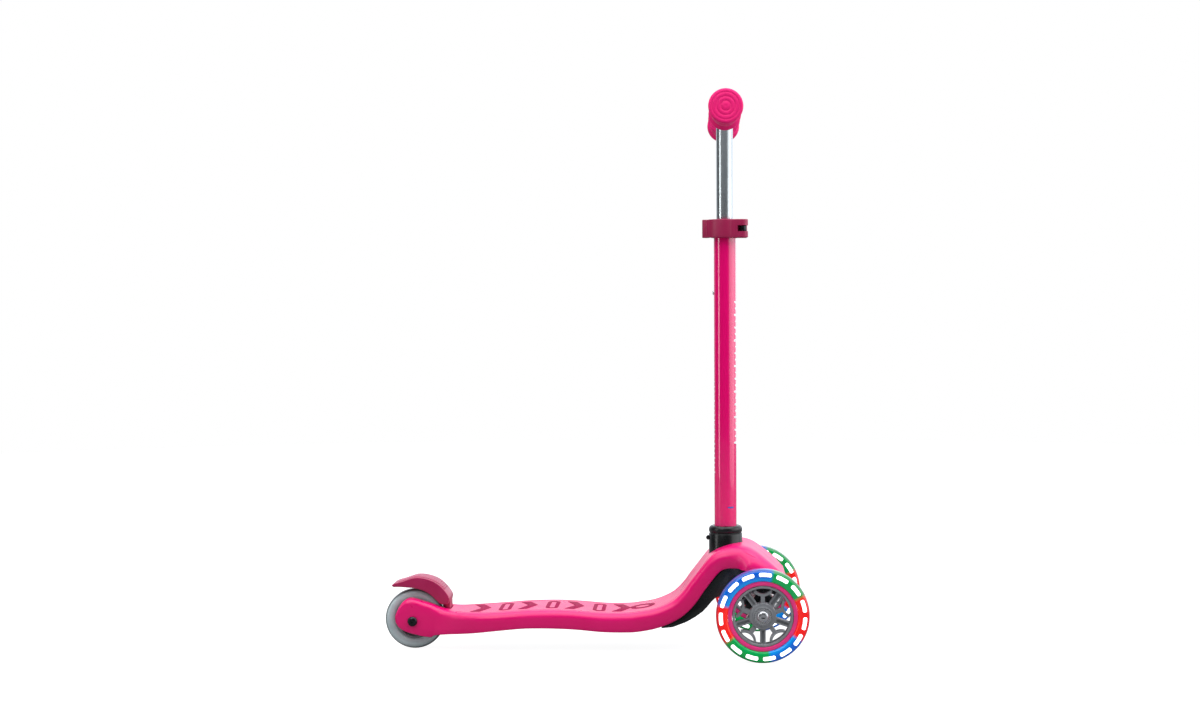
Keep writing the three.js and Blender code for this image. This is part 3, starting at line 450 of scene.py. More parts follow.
# %% A brushed or plated metal finish
def metal(name, colour, bright, gloss, along="Z", stretch=60.0, relief=0.12, coat=0.0):
    """The noise is drawn out along one axis, so that it reads as fine lines."""
    material, tree, shader, coords = new_material(name)
    mapping = tree.nodes.new("ShaderNodeMapping")
    squeeze = [1.0, 1.0, 1.0]
    squeeze["XYZ".index(along)] = 1.0 / stretch
    mapping.inputs["Scale"].default_value = squeeze
    wire(tree, coords, mapping.inputs["Vector"])
    lines = grouped(tree, BRUSHING, mapping.outputs["Vector"], 1500.0).outputs["Height"]
    rubbing = grouped(tree, RUB, coords, 30.0).outputs["Mask"]
    wire(tree, blended(tree, rubbing, (*colour, 1), (*bright, 1)), shader.inputs["Base Color"])
    wire(tree, ranged(tree, lines, *gloss), shader.inputs["Roughness"])
    bump = node(tree, "ShaderNodeBump")
    bump.inputs["Strength"].default_value = relief
    bump.inputs["Distance"].default_value = 0.00002
    wire(tree, lines, bump.inputs["Height"])
    wire(tree, bump.outputs["Normal"], shader.inputs["Normal"])
    shader.inputs["Metallic"].default_value = 1.0
    shader.inputs["Coat Weight"].default_value = coat
    return material


silver_tube = metal("silver_tube", (0.6, 0.66, 0.68), (0.66, 0.72, 0.74), (0.22, 0.28),
                    relief=0.02)
plated = metal("plated_steel", (0.5, 0.51, 0.53), (0.66, 0.67, 0.69), (0.18, 0.36), stretch=2.0)
dark_steel = metal("dark_steel", (0.02, 0.022, 0.025), (0.05, 0.052, 0.056), (0.2, 0.36),
                   stretch=2.0)
print("metal finishes ready")


# %% A surface that gives off light through a colour
def glowing(name, colour_of, strength, gloss, grain=900.0, relief=0.1, coat=0.3):
    """colour_of builds the colour sockets: the body colour and the emitted colour."""
    material, tree, shader, coords = new_material(name)
    body, emitted = colour_of(tree, coords)
    wire(tree, body, shader.inputs["Base Color"])
    wire(tree, emitted, shader.inputs["Emission Color"])
    rubbing = grouped(tree, RUB, coords, 35.0).outputs["Mask"]
    wire(tree, ranged(tree, rubbing, *gloss), shader.inputs["Roughness"])
    bump = node(tree, "ShaderNodeBump")
    bump.inputs["Strength"].default_value = relief
    bump.inputs["Distance"].default_value = 0.00005
    wire(tree, grouped(tree, GRAIN, coords, grain).outputs["Height"], bump.inputs["Height"])
    wire(tree, bump.outputs["Normal"], shader.inputs["Normal"])
    shader.inputs["Emission Strength"].default_value = strength
    shader.inputs["Coat Weight"].default_value = coat
    return material


# %% [markdown]
# The front tyres are clear polyurethane over a ring of small lamps. Each lamp tints its own
# stretch of the tyre, so the colour depends on the angle round the axle. The two materials
# below centre the coordinates on the wheel with a Mapping node, take the angle with an
# arctangent, and look the colour up on a ramp. Because the coordinates belong to the tyre,
# the colours turn with it.


# %% Angle and distance round an axle that runs across the scooter
def round_axle(tree, coords, centre):
    """The turn, from 0 to 1 counted from the front over the top, and the distance."""
    mapping = tree.nodes.new("ShaderNodeMapping")
    mapping.inputs["Location"].default_value = (-centre.x, 0, -centre.z)
    mapping.inputs["Scale"].default_value = (1, 0, 1)
    wire(tree, coords, mapping.inputs["Vector"])
    split = tree.nodes.new("ShaderNodeSeparateXYZ")
    wire(tree, mapping.outputs["Vector"], split.inputs["Vector"])
    angle = node(tree, "ShaderNodeMath", operation="ARCTAN2")
    wire(tree, split.outputs["Z"], angle.inputs[0])
    wire(tree, split.outputs["X"], angle.inputs[1])
    turn = node(tree, "ShaderNodeMapRange")
    turn.inputs["From Min"].default_value = -math.pi
    turn.inputs["From Max"].default_value = math.pi
    wire(tree, angle.outputs[0], turn.inputs["Value"])
    length = node(tree, "ShaderNodeVectorMath", operation="LENGTH")
    wire(tree, mapping.outputs["Vector"], length.inputs[0])
    return turn.outputs["Result"], length.outputs["Value"]


def ramp(tree, factor, stops):
    """A colour ramp. Each stop is a place from 0 to 1 and a colour."""
    made = tree.nodes.new("ShaderNodeValToRGB")
    elements = made.color_ramp.elements
    while len(elements) < len(stops):
        elements.new(0.5)
    for element, (place, colour) in zip(elements, sorted(stops)):
        element.position = place
        element.color = (*colour, 1)
    wire(tree, factor, made.inputs["Fac"])
    return made.outputs["Color"]


GREEN, BLUE, RED = (0.0, 0.27, 0.045), (0.002, 0.07, 0.5), (0.8, 0.004, 0.004)
PALER = {GREEN: (0.004, 0.36, 0.09), BLUE: (0.005, 0.32, 0.8), RED: (0.88, 0.02, 0.012)}
LAMP_SECTORS = [(-180, RED), (-145, GREEN), (-80, BLUE), (-32, RED), (27, GREEN), (77, BLUE),
                (165, RED)]
SECTOR_EDGE = 2.5


def sector_stops(sectors):
    """Two close stops at every change of colour give a short soft edge."""
    stops = [(0.0, sectors[0][1])]
    for (_, before), (start, colour) in zip(sectors, sectors[1:]):
        stops.append(((start - SECTOR_EDGE + 180) / 360, before))
        stops.append(((start + SECTOR_EDGE + 180) / 360, colour))
    return stops


def lit_tyre_colour(tree, coords):
    turn, distance = round_axle(tree, coords, FRONT)
    tint = ramp(tree, turn, sector_stops(LAMP_SECTORS))
    pale = ramp(tree, turn, sector_stops([(at, PALER[hue]) for at, hue in LAMP_SECTORS]))
    cloudy = grouped(tree, RUB, coords, 55.0).outputs["Mask"]
    bright = blended(tree, ranged(tree, cloudy, 0.0, 0.35), tint, pale)
    inner = node(tree, "ShaderNodeMapRange")
    inner.inputs["From Min"].default_value = 0.052
    inner.inputs["From Max"].default_value = 0.0465
    wire(tree, distance, inner.inputs["Value"])
    halo = blended(tree, ranged(tree, inner.outputs["Result"], 0.0, 0.8), bright, pale)
    # Painted shade: the outer edge of the tyre is painted dark, where the clear tread is seen through
    # its thickness.
    rim = node(tree, "ShaderNodeMapRange")
    rim.inputs["From Min"].default_value = 0.0578
    rim.inputs["From Max"].default_value = 0.0592
    wire(tree, distance, rim.inputs["Value"])
    edged = blended(tree, ranged(tree, rim.outputs["Result"], 0.0, 0.45), halo,
                    (0.03, 0.02, 0.05, 1))
    return edged, edged


def lamp_colour(tree, coords):
    cloudy = grouped(tree, RUB, coords, 160.0).outputs["Mask"]
    glow = blended(tree, cloudy, (1.0, 1.0, 1.0, 1), (0.86, 0.94, 1.0, 1))
    return glow, glow


lit_tyre = glowing("lit_tyre", lit_tyre_colour, 0.42, (0.12, 0.22), relief=0.03, coat=0.0)
lamp_white = glowing("lamp_white", lamp_colour, 1.6, (0.2, 0.3), coat=0.0)


def rear_tyre_colour(tree, coords):
    """Frosted clear plastic, dark at the tread as painted shade where it is seen through its
    thickness; the same colour is also emitted faintly, as painted light.
    """
    _, distance = round_axle(tree, coords, REAR)
    cloudy = grouped(tree, RUB, coords, 45.0).outputs["Mask"]
    body = blended(tree, cloudy, (0.4, 0.5, 0.52, 1), (0.56, 0.65, 0.67, 1))
    edge = node(tree, "ShaderNodeMapRange")
    edge.inputs["From Min"].default_value = 0.037
    edge.inputs["From Max"].default_value = 0.0386
    wire(tree, distance, edge.inputs["Value"])
    dark = blended(tree, ranged(tree, edge.outputs["Result"], 0.0, 0.8), body,
                   (0.03, 0.036, 0.04, 1))
    return dark, dark


# The rear wheel has no lamps: its emission of 0.08 is painted light that brightens the frosted tyre.
clear_grey = glowing("clear_grey", rear_tyre_colour, 0.08, (0.14, 0.26))
print("lit and clear plastics ready")

# %% [markdown]
# The deck's top is moulded with a fine grid of raised dots for grip, bounded by a groove. The
# dots are under half a millimetre, too small to model, so they are a bump from a Voronoi
# texture. A vertex attribute on the deck mesh, written when the deck is built, says where the
# panel is: 1 inside the groove and 0 outside.


# %% The dotted deck finish
def dotted_deck():
    material, tree, shader, coords = new_material("deck_pink")
    rubbing = grouped(tree, RUB, coords, 18.0).outputs["Mask"]
    wear = grouped(tree, WEAR, coords, 140.0).outputs["Mask"]
    body = blended(tree, rubbing, (*PINK, 1), (*PINK_PALE, 1))
    panel = node(tree, "ShaderNodeAttribute", attribute_name="panel").outputs["Fac"]
    dots = node(tree, "ShaderNodeTexVoronoi", Randomness=0.0, Scale=520.0)
    flat = tree.nodes.new("ShaderNodeMapping")
    flat.inputs["Scale"].default_value = (1, 1, 0)
    wire(tree, coords, flat.inputs["Vector"])
    wire(tree, flat.outputs["Vector"], dots.inputs["Vector"])
    bead = node(tree, "ShaderNodeMapRange", interpolation_type="SMOOTHSTEP")
    bead.inputs["From Min"].default_value = 0.42
    bead.inputs["From Max"].default_value = 0.24
    wire(tree, dots.outputs["Distance"], bead.inputs["Value"])
    on_panel = node(tree, "ShaderNodeMath", operation="MULTIPLY")
    wire(tree, bead.outputs["Result"], on_panel.inputs[0])
    wire(tree, panel, on_panel.inputs[1])
    # Painted shade and highlight on the dotted panel: the panel is painted a darker pink, as painted
    # shade among the dots, and each dot top is mixed halfway to the pale pink, as a painted highlight.
    shaded = blended(tree, ranged(tree, panel, 0.0, 0.3), body, (0.62, 0.003, 0.11, 1))
    painted_dot_highlight = blended(tree, ranged(tree, on_panel.outputs[0], 0.0, 0.5), shaded,
                     (*PINK_WEAR_AND_DOT_HIGHLIGHT, 1))
    wire(tree, blended(tree, wear, painted_dot_highlight, (*PINK_WEAR_AND_DOT_HIGHLIGHT, 1)), shader.inputs["Base Color"])
    wire(tree, ranged(tree, rubbing, 0.26, 0.38), shader.inputs["Roughness"])
    grain = grouped(tree, GRAIN, coords, 1500.0).outputs["Height"]
    height = node(tree, "ShaderNodeMath", operation="MULTIPLY_ADD")
    height.inputs[1].default_value = 0.02
    wire(tree, grain, height.inputs[0])
    wire(tree, on_panel.outputs[0], height.inputs[2])
    bump = node(tree, "ShaderNodeBump")
    bump.inputs["Strength"].default_value = 0.6
    bump.inputs["Distance"].default_value = 0.0003
    wire(tree, height.outputs[0], bump.inputs["Height"])
    wire(tree, bump.outputs["Normal"], shader.inputs["Normal"])
    shader.inputs["IOR"].default_value = 1.5
    return material


deck_pink = dotted_deck()
white_print = finish("white_print", (0.85, 0.85, 0.85), (0.9, 0.9, 0.9), (0.95, 0.95, 0.95),
                     (0.3, 0.45))
blue_print = finish("blue_print", (0.01, 0.06, 0.4), (0.02, 0.09, 0.5), (0.1, 0.2, 0.6),
                    (0.3, 0.45))
print("materials:", len(bpy.data.materials))

# %% [markdown]
# ## Dressing a piece
# Every finished piece gets four things in one step: its material, smooth shading that keeps
# the crisp edges, the body that it rides on, and the frame nodes that it stands in for.


# %% Dress a new piece, or a refined copy of a frame node
def dress(piece, material, body, replaced=(), angle=32):
    smooth(piece, angle)
    piece.data.materials.clear()
    piece.data.materials.append(material)
    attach(piece, body)
    if replaced:
        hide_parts(*replaced)
    report(piece)
    return piece


def refined(source, name, width=0.0004, angle=35):
    """A frame node's mesh, merged, with its flat facets joined and its edges rounded."""
    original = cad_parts[source]
    piece = original.copy()
    piece.data = original.data.copy()
    piece.parent = None
    for key in list(piece.keys()):
        del piece[key]
    piece.name = name
    bpy.context.collection.objects.link(piece)
    pick(piece)
    bpy.ops.object.mode_set(mode="EDIT")
    bpy.ops.mesh.select_all(action="SELECT")
    bpy.ops.mesh.remove_doubles(threshold=2e-5)
    bpy.ops.mesh.dissolve_limited(angle_limit=math.radians(1.0))
    bpy.ops.object.mode_set(mode="OBJECT")
    return round_edges(piece, width, 2, angle)


# %% [markdown]
# ## The deck
# The deck is one moulding. It starts as a low fork that straddles the rear wheel, widens to a
# footboard, sweeps up, and flares into a hood over the steering truck. A loft suits a shape
# like this: a row of cross-sections along a curve. A grid is added with one column for each
# point round the section, every column is moved to its place, and the seam is welded. The
# sections carry their own tilt so that the walls stay square to the sweep.

# %% The rows that drive the deck
HALF_WIDTH = 56.0
TAIL_ROWS = [
    # forward of the rear axle, top and underside above it, half-width, shoulder
    (-23.3, 5.0, 2.0, 32, 1.2), (-22.9, 8.2, -1.0, 32, 2.5), (-21.3, 13.2, -4.6, 32, 4.5),
    (-18.4, 19.2, -8.4, 32, 6), (-15.3, 23.8, -11.0, 32, 6.5), (-11.5, 27.3, -13.2, 32, 7),
    (-7.3, 29.4, -14.9, 32, 7), (-2.5, 29.9, -16.6, 32, 7), (2.7, 29.1, -17.9, 32, 7),
    (9.5, 27.1, -19.7, 32, 7), (16.7, 24.8, -21.0, 32, 7.5), (25, 22.3, -21.5, 32, 8),
]
STATIONS_MM = [
    # along, height, depth, half-width, shoulder: measured from the rear axle
    (37.75, 17, 37, 33, 9), (52.75, 13.6, 31, 38.5, 9), (64.75, 12.5, 28.2, 44, 9),
    (82.75, 12.6, 26.4, 50, 9),
]
MIDDLE_ROWS = [
    # share of the footboard, height above the line between the axles, depth, half-width
    (0.069, 11.6, 25, 53), (0.183, 10.6, 23.6, 55.2), (0.298, 10.0, 23.2, 56),
    (0.413, 8.4, 23.6, 56), (0.523, 6.0, 24, 56), (0.642, 2.1, 24, 56),
    (0.798, -3.96, 24.4, 56), (0.94, -6.87, 25, 56),
]
HEAD_ROWS = [
    # forward of and above the front axle, depth, half-width change, shoulder
    (-164.25, -6.7, 25.5, 0, 9), (-146.25, -3.9, 25, 0, 9), (-132.25, 0.5, 24.5, 0, 9),
    (-119.25, 6.7, 24, 0, 9), (-110.75, 13.5, 23.5, 0, 9), (-102.75, 22.1, 23, 0.3, 9),
    (-94.25, 33.7, 22.5, 0.6, 9), (-86.25, 43.9, 22, 1, 9), (-78.25, 54.1, 22, 1.4, 9),
    (-69.75, 64.5, 23, 2, 10), (-59.25, 73, 25, 3, 12), (-46.25, 78.5, 27.5, 5, 15),
    (-32.25, 81.5, 29, 10, 19), (-18.25, 80.5, 30, 17, 22), (-5.25, 74.8, 28, 22, 22),
    (7.75, 64.5, 22, 23, 17), (20.75, 53.5, 14, 20, 10), (33.75, 40, 8, 8, 5),
]


def deck_rows():
    """Every row as x, z, depth, half-width, shoulder and the two parts of its downward way."""
    rx, rz, fx, fz = REAR.x / MM, REAR.z / MM, FRONT.x / MM, FRONT.z / MM
    tail = [[rx + x, rz + top, top - under, w, r] for x, top, under, w, r in TAIL_ROWS]
    rows = [[rx + x, rz + z, d, w, r] for x, z, d, w, r in STATIONS_MM]
    start, end = rows[-1][0], fx + HEAD_ROWS[0][0]
    for share, z, d, w in MIDDLE_ROWS:
        rows.append([start + (end - start) * share, rz + (fz - rz) * share + z, d, w, 9])
    rows += [[fx + x, fz + z, d, HALF_WIDTH + w, r] for x, z, d, w, r in HEAD_ROWS]
    for i, row in enumerate(rows):
        before, after = rows[max(i - 1, 0)], rows[min(i + 1, len(rows) - 1)]
        length = math.hypot(after[0] - before[0], after[1] - before[1])
        row.extend([(after[1] - before[1]) / length, -(after[0] - before[0]) / length])
    tail = [row[:5] + [0.0, -1.0] for row in tail]
    return tail + [row[:7] for row in rows]


DECK = flowing(deck_rows(), 4.0)
print(f"the deck has {len(DECK)} cross-sections")


def deck_height(x):
    """The deck's top at a place along it, and the downward way there, in millimetres."""
    for a, b in zip(DECK, DECK[1:]):
        if a[0] <= x <= b[0]:
            t = (x - a[0]) / (b[0] - a[0])
            return [p + (q - p) * t for p, q in zip(a, b)]
    return DECK[-1]


# %% One cross-section
PANEL_HALF = 46.5
PANEL_BACK, PANEL_TIP = REAR.x / MM + 58, FRONT.x / MM - 88
TAPER_START = FRONT.x / MM - 150
GROOVE_HALF, GROOVE_DEPTH = 0.8, 1.1
HOLLOW_START = REAR.x / MM + 83
SKIN = 4.5


def panel_half(x):
    """Half the width of the dotted panel: full along the footboard, closing to a tip."""
    if x < TAPER_START:
        return PANEL_HALF
    t = min((x - TAPER_START) / (PANEL_TIP - TAPER_START), 1.0)
    return max(PANEL_HALF * math.sqrt(max(1 - t * t, 0.0)), 1.5)


def half_section(row, last):
    """Points (across, down, on the panel) from the middle of the top round to the hollow."""
    x, _, depth, w, r = row[:5]
    shoulder_in = w - 1.25 * r
    panel = min(panel_half(x), shoulder_in - 1.2)
    sunk = GROOVE_DEPTH if PANEL_BACK < x < PANEL_TIP else 0.0
    on = 1.0 if sunk else 0.0
    flat = max(panel - 2 * GROOVE_HALF, 0.5)
    points = [(flat * k / 6, 0.0, on) for k in range(7)]
    points += [(panel - GROOVE_HALF * 0.5, sunk, 0.0), (panel + GROOVE_HALF * 0.5, sunk, 0.0)]
    edge = panel + 2 * GROOVE_HALF
    points += [(edge + (shoulder_in - edge) * k / 3, 0.0, 0.0) for k in range(4)]
    for k in range(1, 9):
        t = k / 8
        across = shoulder_in + (w - shoulder_in) * math.sin(t * math.pi / 2) ** 0.92
        points.append((across, r * (1 - math.cos(t * math.pi / 2)) ** 1.05, 0.0))
    lean = 1.5
    for k in range(1, 4):
        t = k / 3
        points.append((w - lean * t, r + (depth - r - 1.2) * t, 0.0))
    points += [(w - lean - 0.4, depth - 0.35, 0.0), (w - lean - 1.2, depth, 0.0)]
    if x < HOLLOW_START or last:
        roof = depth
    else:
        roof = SKIN
    inner = w - SKIN
    corner = min(7.0, depth * 0.3)
    points += [(inner, depth, 0.0), (inner, max(roof, min(depth, roof + corner)), 0.0)]
    points += [(inner - corner * 0.3, min(depth, roof + corner * 0.3), 0.0),
               (inner - corner, roof, 0.0), (inner * 0.4, roof, 0.0), (0.0, roof, 0.0)]
    return points


# %% Loft the deck from a grid
def lofted(name, rings, masks=None, cap=True):
    """Skins rings of points, in millimetres, from a grid whose columns are moved."""
    deselect()
    around, along = len(rings[0]), len(rings)
    bpy.ops.mesh.primitive_grid_add(x_subdivisions=around, y_subdivisions=along - 1, size=1)
    piece = bpy.context.object
    piece.name = name
    vertices = piece.data.vertices
    if masks:
        attribute = piece.data.attributes.new("panel", "FLOAT", "POINT")
    for j in range(along):
        for i in range(around + 1):
            index = j * (around + 1) + i
            vertices[index].co = [value * MM for value in rings[j][i % around]]
            if masks:
                attribute.data[index].value = masks[j][i % around]
    bpy.ops.object.mode_set(mode="EDIT")
    bpy.ops.mesh.select_all(action="SELECT")
    bpy.ops.mesh.remove_doubles(threshold=4e-6)
    if cap:
        bpy.ops.mesh.select_all(action="DESELECT")
        bpy.ops.mesh.select_non_manifold(extend=False)
        bpy.ops.mesh.fill_holes(sides=0)
    bpy.ops.mesh.select_all(action="SELECT")
    bpy.ops.mesh.normals_make_consistent(inside=False)
    bpy.ops.object.mode_set(mode="OBJECT")
    return piece


def deck_rings():
    rings, masks = [], []
    for j, row in enumerate(DECK):
        half = half_section(row, j == len(DECK) - 1)
        around = half + [(-a, d, m) for a, d, m in reversed(half)][1:-1]
        rings.append([(row[0] + row[5] * d, a, row[1] + row[6] * d) for a, d, _ in around])
        masks.append([m for _, _, m in around])
    return rings, masks


deck_body = lofted("deck_body", *deck_rings())
report(deck_body)

# %% [markdown]
# The loft still needs its openings: the slot that the rear wheel runs in, the round hole for
# the collar, and the seats for the rear axle. Each is cut with a boolean.

# %% Cut the slot, the collar hole and the axle seats
slot_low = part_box("rear_tyre")[0]
SLOT_HALF, SLOT_FRONT = 15.2, 49.25
slot = block("slot_cutter", (slot_low.x - 0.02, -SLOT_HALF * MM, 0.0),
             (REAR.x + SLOT_FRONT * MM, SLOT_HALF * MM, 0.12))
carve(deck_body, slot)
COLLAR_RADIUS = 22.5
hole = turned("hole_cutter", [(0, 60), (COLLAR_RADIUS + 0.5, 60), (COLLAR_RADIUS + 0.5, 170),
                              (0, 170)], 64, (STEM.x, 0, 0))
carve(deck_body, hole)
for name, radius, reach, place in (
        ("axle_cutter", 4.2, 60, REAR), ("seat_right", 7.6, 0, REAR), ("seat_left", 8.0, 0, REAR),
        ("pin_cutter", 2.2, 24.4, Vector((REAR.x + 45.2 * MM, 0, REAR.z + 13 * MM)))):
    if name == "seat_right":
        profile = [(0, -40), (radius, -40), (radius, -31.2), (0, -31.2)]
    elif name == "seat_left":
        profile = [(0, 31.2), (radius, 31.2), (radius, 40), (0, 40)]
    else:
        profile = [(0, -reach), (radius, -reach), (radius, reach), (0, reach)]
    cutter = turned(name, profile, 48, place, (-math.pi / 2, 0, 0))
    carve(deck_body, cutter)
dress(deck_body, deck_pink, "deck", ["deck_shell"], angle=38)

# %% [markdown]
# ## Grip marks on the deck
# Darker soft-touch shapes are set into the footboard. Each is cut flat, like a gasket, sliced
# across every few millimetres with bisect, and then laid on the deck: every point moves down
# to the deck's height at its place, and stands a third of a millimetre proud.


# %% Lay flat shapes on the deck
def sliced(piece, spacing):
    """Cuts a flat piece across X, so that it can bend."""
    low = min(vertex.co.x for vertex in piece.data.vertices)
    high = max(vertex.co.x for vertex in piece.data.vertices)
    pick(piece)
    bpy.ops.object.mode_set(mode="EDIT")
    x = low + spacing
    while x < high - spacing / 3:
        bpy.ops.mesh.select_all(action="SELECT")
        bpy.ops.mesh.bisect(plane_co=(x, 0, 0), plane_no=(1, 0, 0))
        x += spacing
    bpy.ops.object.mode_set(mode="OBJECT")
    return piece


def laid_on_deck(piece, lift=0.0):
    """Z in the flat piece becomes height above the deck, square to it."""
    for vertex in piece.data.vertices:
        row = deck_height(vertex.co.x / MM)
        height = -(vertex.co.z / MM + lift)
        vertex.co = (vertex.co.x + row[5] * height * MM, vertex.co.y,
                     (row[1] + row[6] * height) * MM)
    return piece


def chevron(x, reach, thick, half):
    """An arrow mark that points forward from x."""
    return [(x, 0), (x - reach, half), (x - reach - thick, half), (x - thick, 0),
            (x - reach - thick, -half), (x - reach, -half)]


def capsule(x, length, half, steps=10):
    """A slot outline with round ends, lying across the deck."""
    top = bow(x, half - length / 2, length / 2, 0, 180, steps)
    bottom = bow(x, -half + length / 2, length / 2, 180, 360, steps)
    return top + bottom


marks = []
MARK_START, MARK_STEP, MARK_COUNT = REAR.x / MM + 88, 31.5, 7
for i in range(MARK_COUNT):
    x = MARK_START + MARK_STEP * i
    if i % 2:
        mark = plate(f"mark_{i}", capsule(x + 3, 17, 31), -0.6, 0.35)
        hole = plate("hole_cutter", capsule(x + 3, 6.5, 25.5), -5, 5)
        carve(mark, hole)
    else:
        mark = plate(f"mark_{i}", chevron(x + 14, 12, 13, 31), -0.6, 0.35)
    marks.append(laid_on_deck(sliced(round_edges(mark, 0.0002, 2), 0.004)))
ring_x = MARK_START + MARK_STEP * MARK_COUNT - 2
tip = plate("mark_tip", bow(ring_x, 0, 17, 0, 351, 39), -0.6, 0.35)
carve(tip, plate("hole_cutter", bow(ring_x, 0, 9.5, 0, 351, 39), -5, 5))
marks.append(laid_on_deck(sliced(round_edges(tip, 0.0002, 2), 0.004)))
grip_marks = join(marks, "grip_marks")
dress(grip_marks, mark_berry, "deck")

# %% [markdown]
# ## Under the deck
# The sole plate closes the hollow of the footboard and is held by four screws. Nobody models
# a flat plate twice: the frame's own mesh is copied, its loose triangles are welded, and its
# edges are rounded.

# %% Sole plate, screws, truck housing
sole = refined("deck_underplate", "deck_sole", 0.0006, 40)
dress(sole, black_plastic, "deck", ["deck_underplate"])
for number in range(1, 5):
    screw = refined(f"deck_screw_{number}", f"sole_screw_{number}", 0.0002, 30)
    dress(screw, plated, "deck", [f"deck_screw_{number}"])
housing = refined("head_housing", "truck_housing", 0.0007, 30)
dress(housing, black_plastic, "deck", ["head_housing"], angle=28)
for side in ("left", "right"):
    for source, width, material, body, slot in (
            ("knuckle", 0.0005, black_plastic, f"steer_{side}", "black"),
            ("kingpin", 0.0003, plated, "deck", "steel"),
            ("centring_spring", 0.0003, plated, "deck", "steel")):
        piece = refined(f"{source}_{side}", f"{source}_{side}_finished", width, 30)
        dress(piece, material, body, [f"{source}_{side}"], angle=40)
tie = refined("tie_rod", "tie_rod_finished", 0.0005, 30)
dress(tie, plated, "tie_rod", ["tie_rod"])
for source in ("brake_pin", "brake_spring"):
    piece = refined(source, f"{source}_finished", 0.0002, 30)
    dress(piece, plated, "deck", [source])

# %% [markdown]
# ## The front wheels
# A wheel is nested rings: a clear tyre, a pink ring, a grey rim with spokes, and a bolt. Each
# ring is a lathe part about its own axle, so it is modelled lying flat at the origin, with
# its outer face up, and then turned to face left or right and moved onto the axle.

# %% Tyres, pink rings and lamps
TYRE_FACE = [
    (45.6, 8.6), (45.7, 9.6), (46.4, 10.5), (47.6, 11.2), (49.6, 11.65), (52.4, 11.9),
    (55.6, 11.95), (57.6, 11.5), (59.0, 10.4), (59.9, 8.8), (60.35, 6.6), (60.5, 4.0),
]
LAMP_COUNT, LAMP_FIRST = 15, 86.6
LAMP_INNER, LAMP_OUTER, LAMP_HALF_TURN = 51.7, 56.8, 7.4


def closed(face):
    """A closed profile from one face: the face, its mirror image, and the first point."""
    return face + [(r, -z) for r, z in reversed(face)] + [face[0]]


def lamp_outline(angle):
    """A curved slot that follows the tyre."""
    centre, half = (LAMP_INNER + LAMP_OUTER) / 2, (LAMP_OUTER - LAMP_INNER) / 2
    points = []
    for k in range(9):
        turn = -LAMP_HALF_TURN + 2 * LAMP_HALF_TURN * k / 8
        points.append((turn, centre + half))
    points += [(LAMP_HALF_TURN + 1.4, centre + half * 0.55),
               (LAMP_HALF_TURN + 1.4, centre - half * 0.55)]
    for k in range(9):
        turn = LAMP_HALF_TURN - 2 * LAMP_HALF_TURN * k / 8
        points.append((turn, centre - half))
    points += [(-LAMP_HALF_TURN - 1.4, centre - half * 0.55),
               (-LAMP_HALF_TURN - 1.4, centre + half * 0.55)]
    return [(r * math.cos(math.radians(angle + t)), r * math.sin(math.radians(angle + t)))
            for t, r in points]


def lamps(name, first):
    """All the lamp windows of one face, as one piece."""
    made = []
    for k in range(LAMP_COUNT):
        angle = first + 360 * k / LAMP_COUNT
        lamp = plate(f"{name}_{k}", lamp_outline(angle), 8.8, 12.15)
        made.append(round_edges(lamp, 0.0006, 3, 40))
    return join(made, name)


for side in ("left", "right"):
    axle = middle(f"tyre_{side}")
    turn = SIDEWAYS[side]
    tyre = turned(f"lit_tyre_{side}", closed(TYRE_FACE), 160, axle, turn)
    dress(tyre, lit_tyre, f"wheel_{side}", [f"tyre_{side}"], angle=50)
    first = LAMP_FIRST if side == "right" else -LAMP_FIRST
    outer = lamps(f"lamps_{side}_outer", first)
    inner = copied(outer, f"lamps_{side}_inner")
    settle(inner, turn=(math.pi, 0, 0))
    settle(outer, axle, turn)
    settle(inner, axle, turn)
    dress(outer, lamp_white, f"wheel_{side}", [f"light_ring_{side}"])
    dress(inner, lamp_white, f"wheel_{side}")
    band = turned(f"pink_ring_{side}", closed(
        [(39.8, 8.8), (40.1, 9.3), (40.7, 9.6), (44.4, 9.6), (45.0, 9.3), (45.3, 8.7)]),
        128, axle, turn)
    dress(band, ring_pink, f"wheel_{side}", [f"hub_ring_{side}"])


# %% [markdown]
# The rim is moulded in one piece: a thin hoop, five straight channel spokes, and between them
# five tulip-shaped spokes whose cups reach the hoop. Straight spokes and tulips are cut from
# plate once, copied round the axle, and merged with the hub and the hoop by boolean union,
# as the mould would fill them. Each straight spoke carries a channel, whose edges catch the
# light.

# %% Model one rim and copy it
SPOKES = 5
HOOP_INNER, HOOP_OUTER = 36.0, 39.4


def spun_copies(piece, count, start):
    """Copies of a piece, turned about Z; the piece itself is taken away."""
    made = []
    for k in range(count):
        twin = copied(piece, f"{piece.name}_{k}")
        made.append(settle(twin, turn=(0, 0, math.radians(start + 360 * k / count))))
    bpy.data.objects.remove(piece)
    return made


def hoop(inner, outer, half, name):
    return turned(name, closed([(inner, half - 0.6), (inner + 0.6, half), (outer - 0.6, half),
                                (outer, half - 0.6)]), 128)


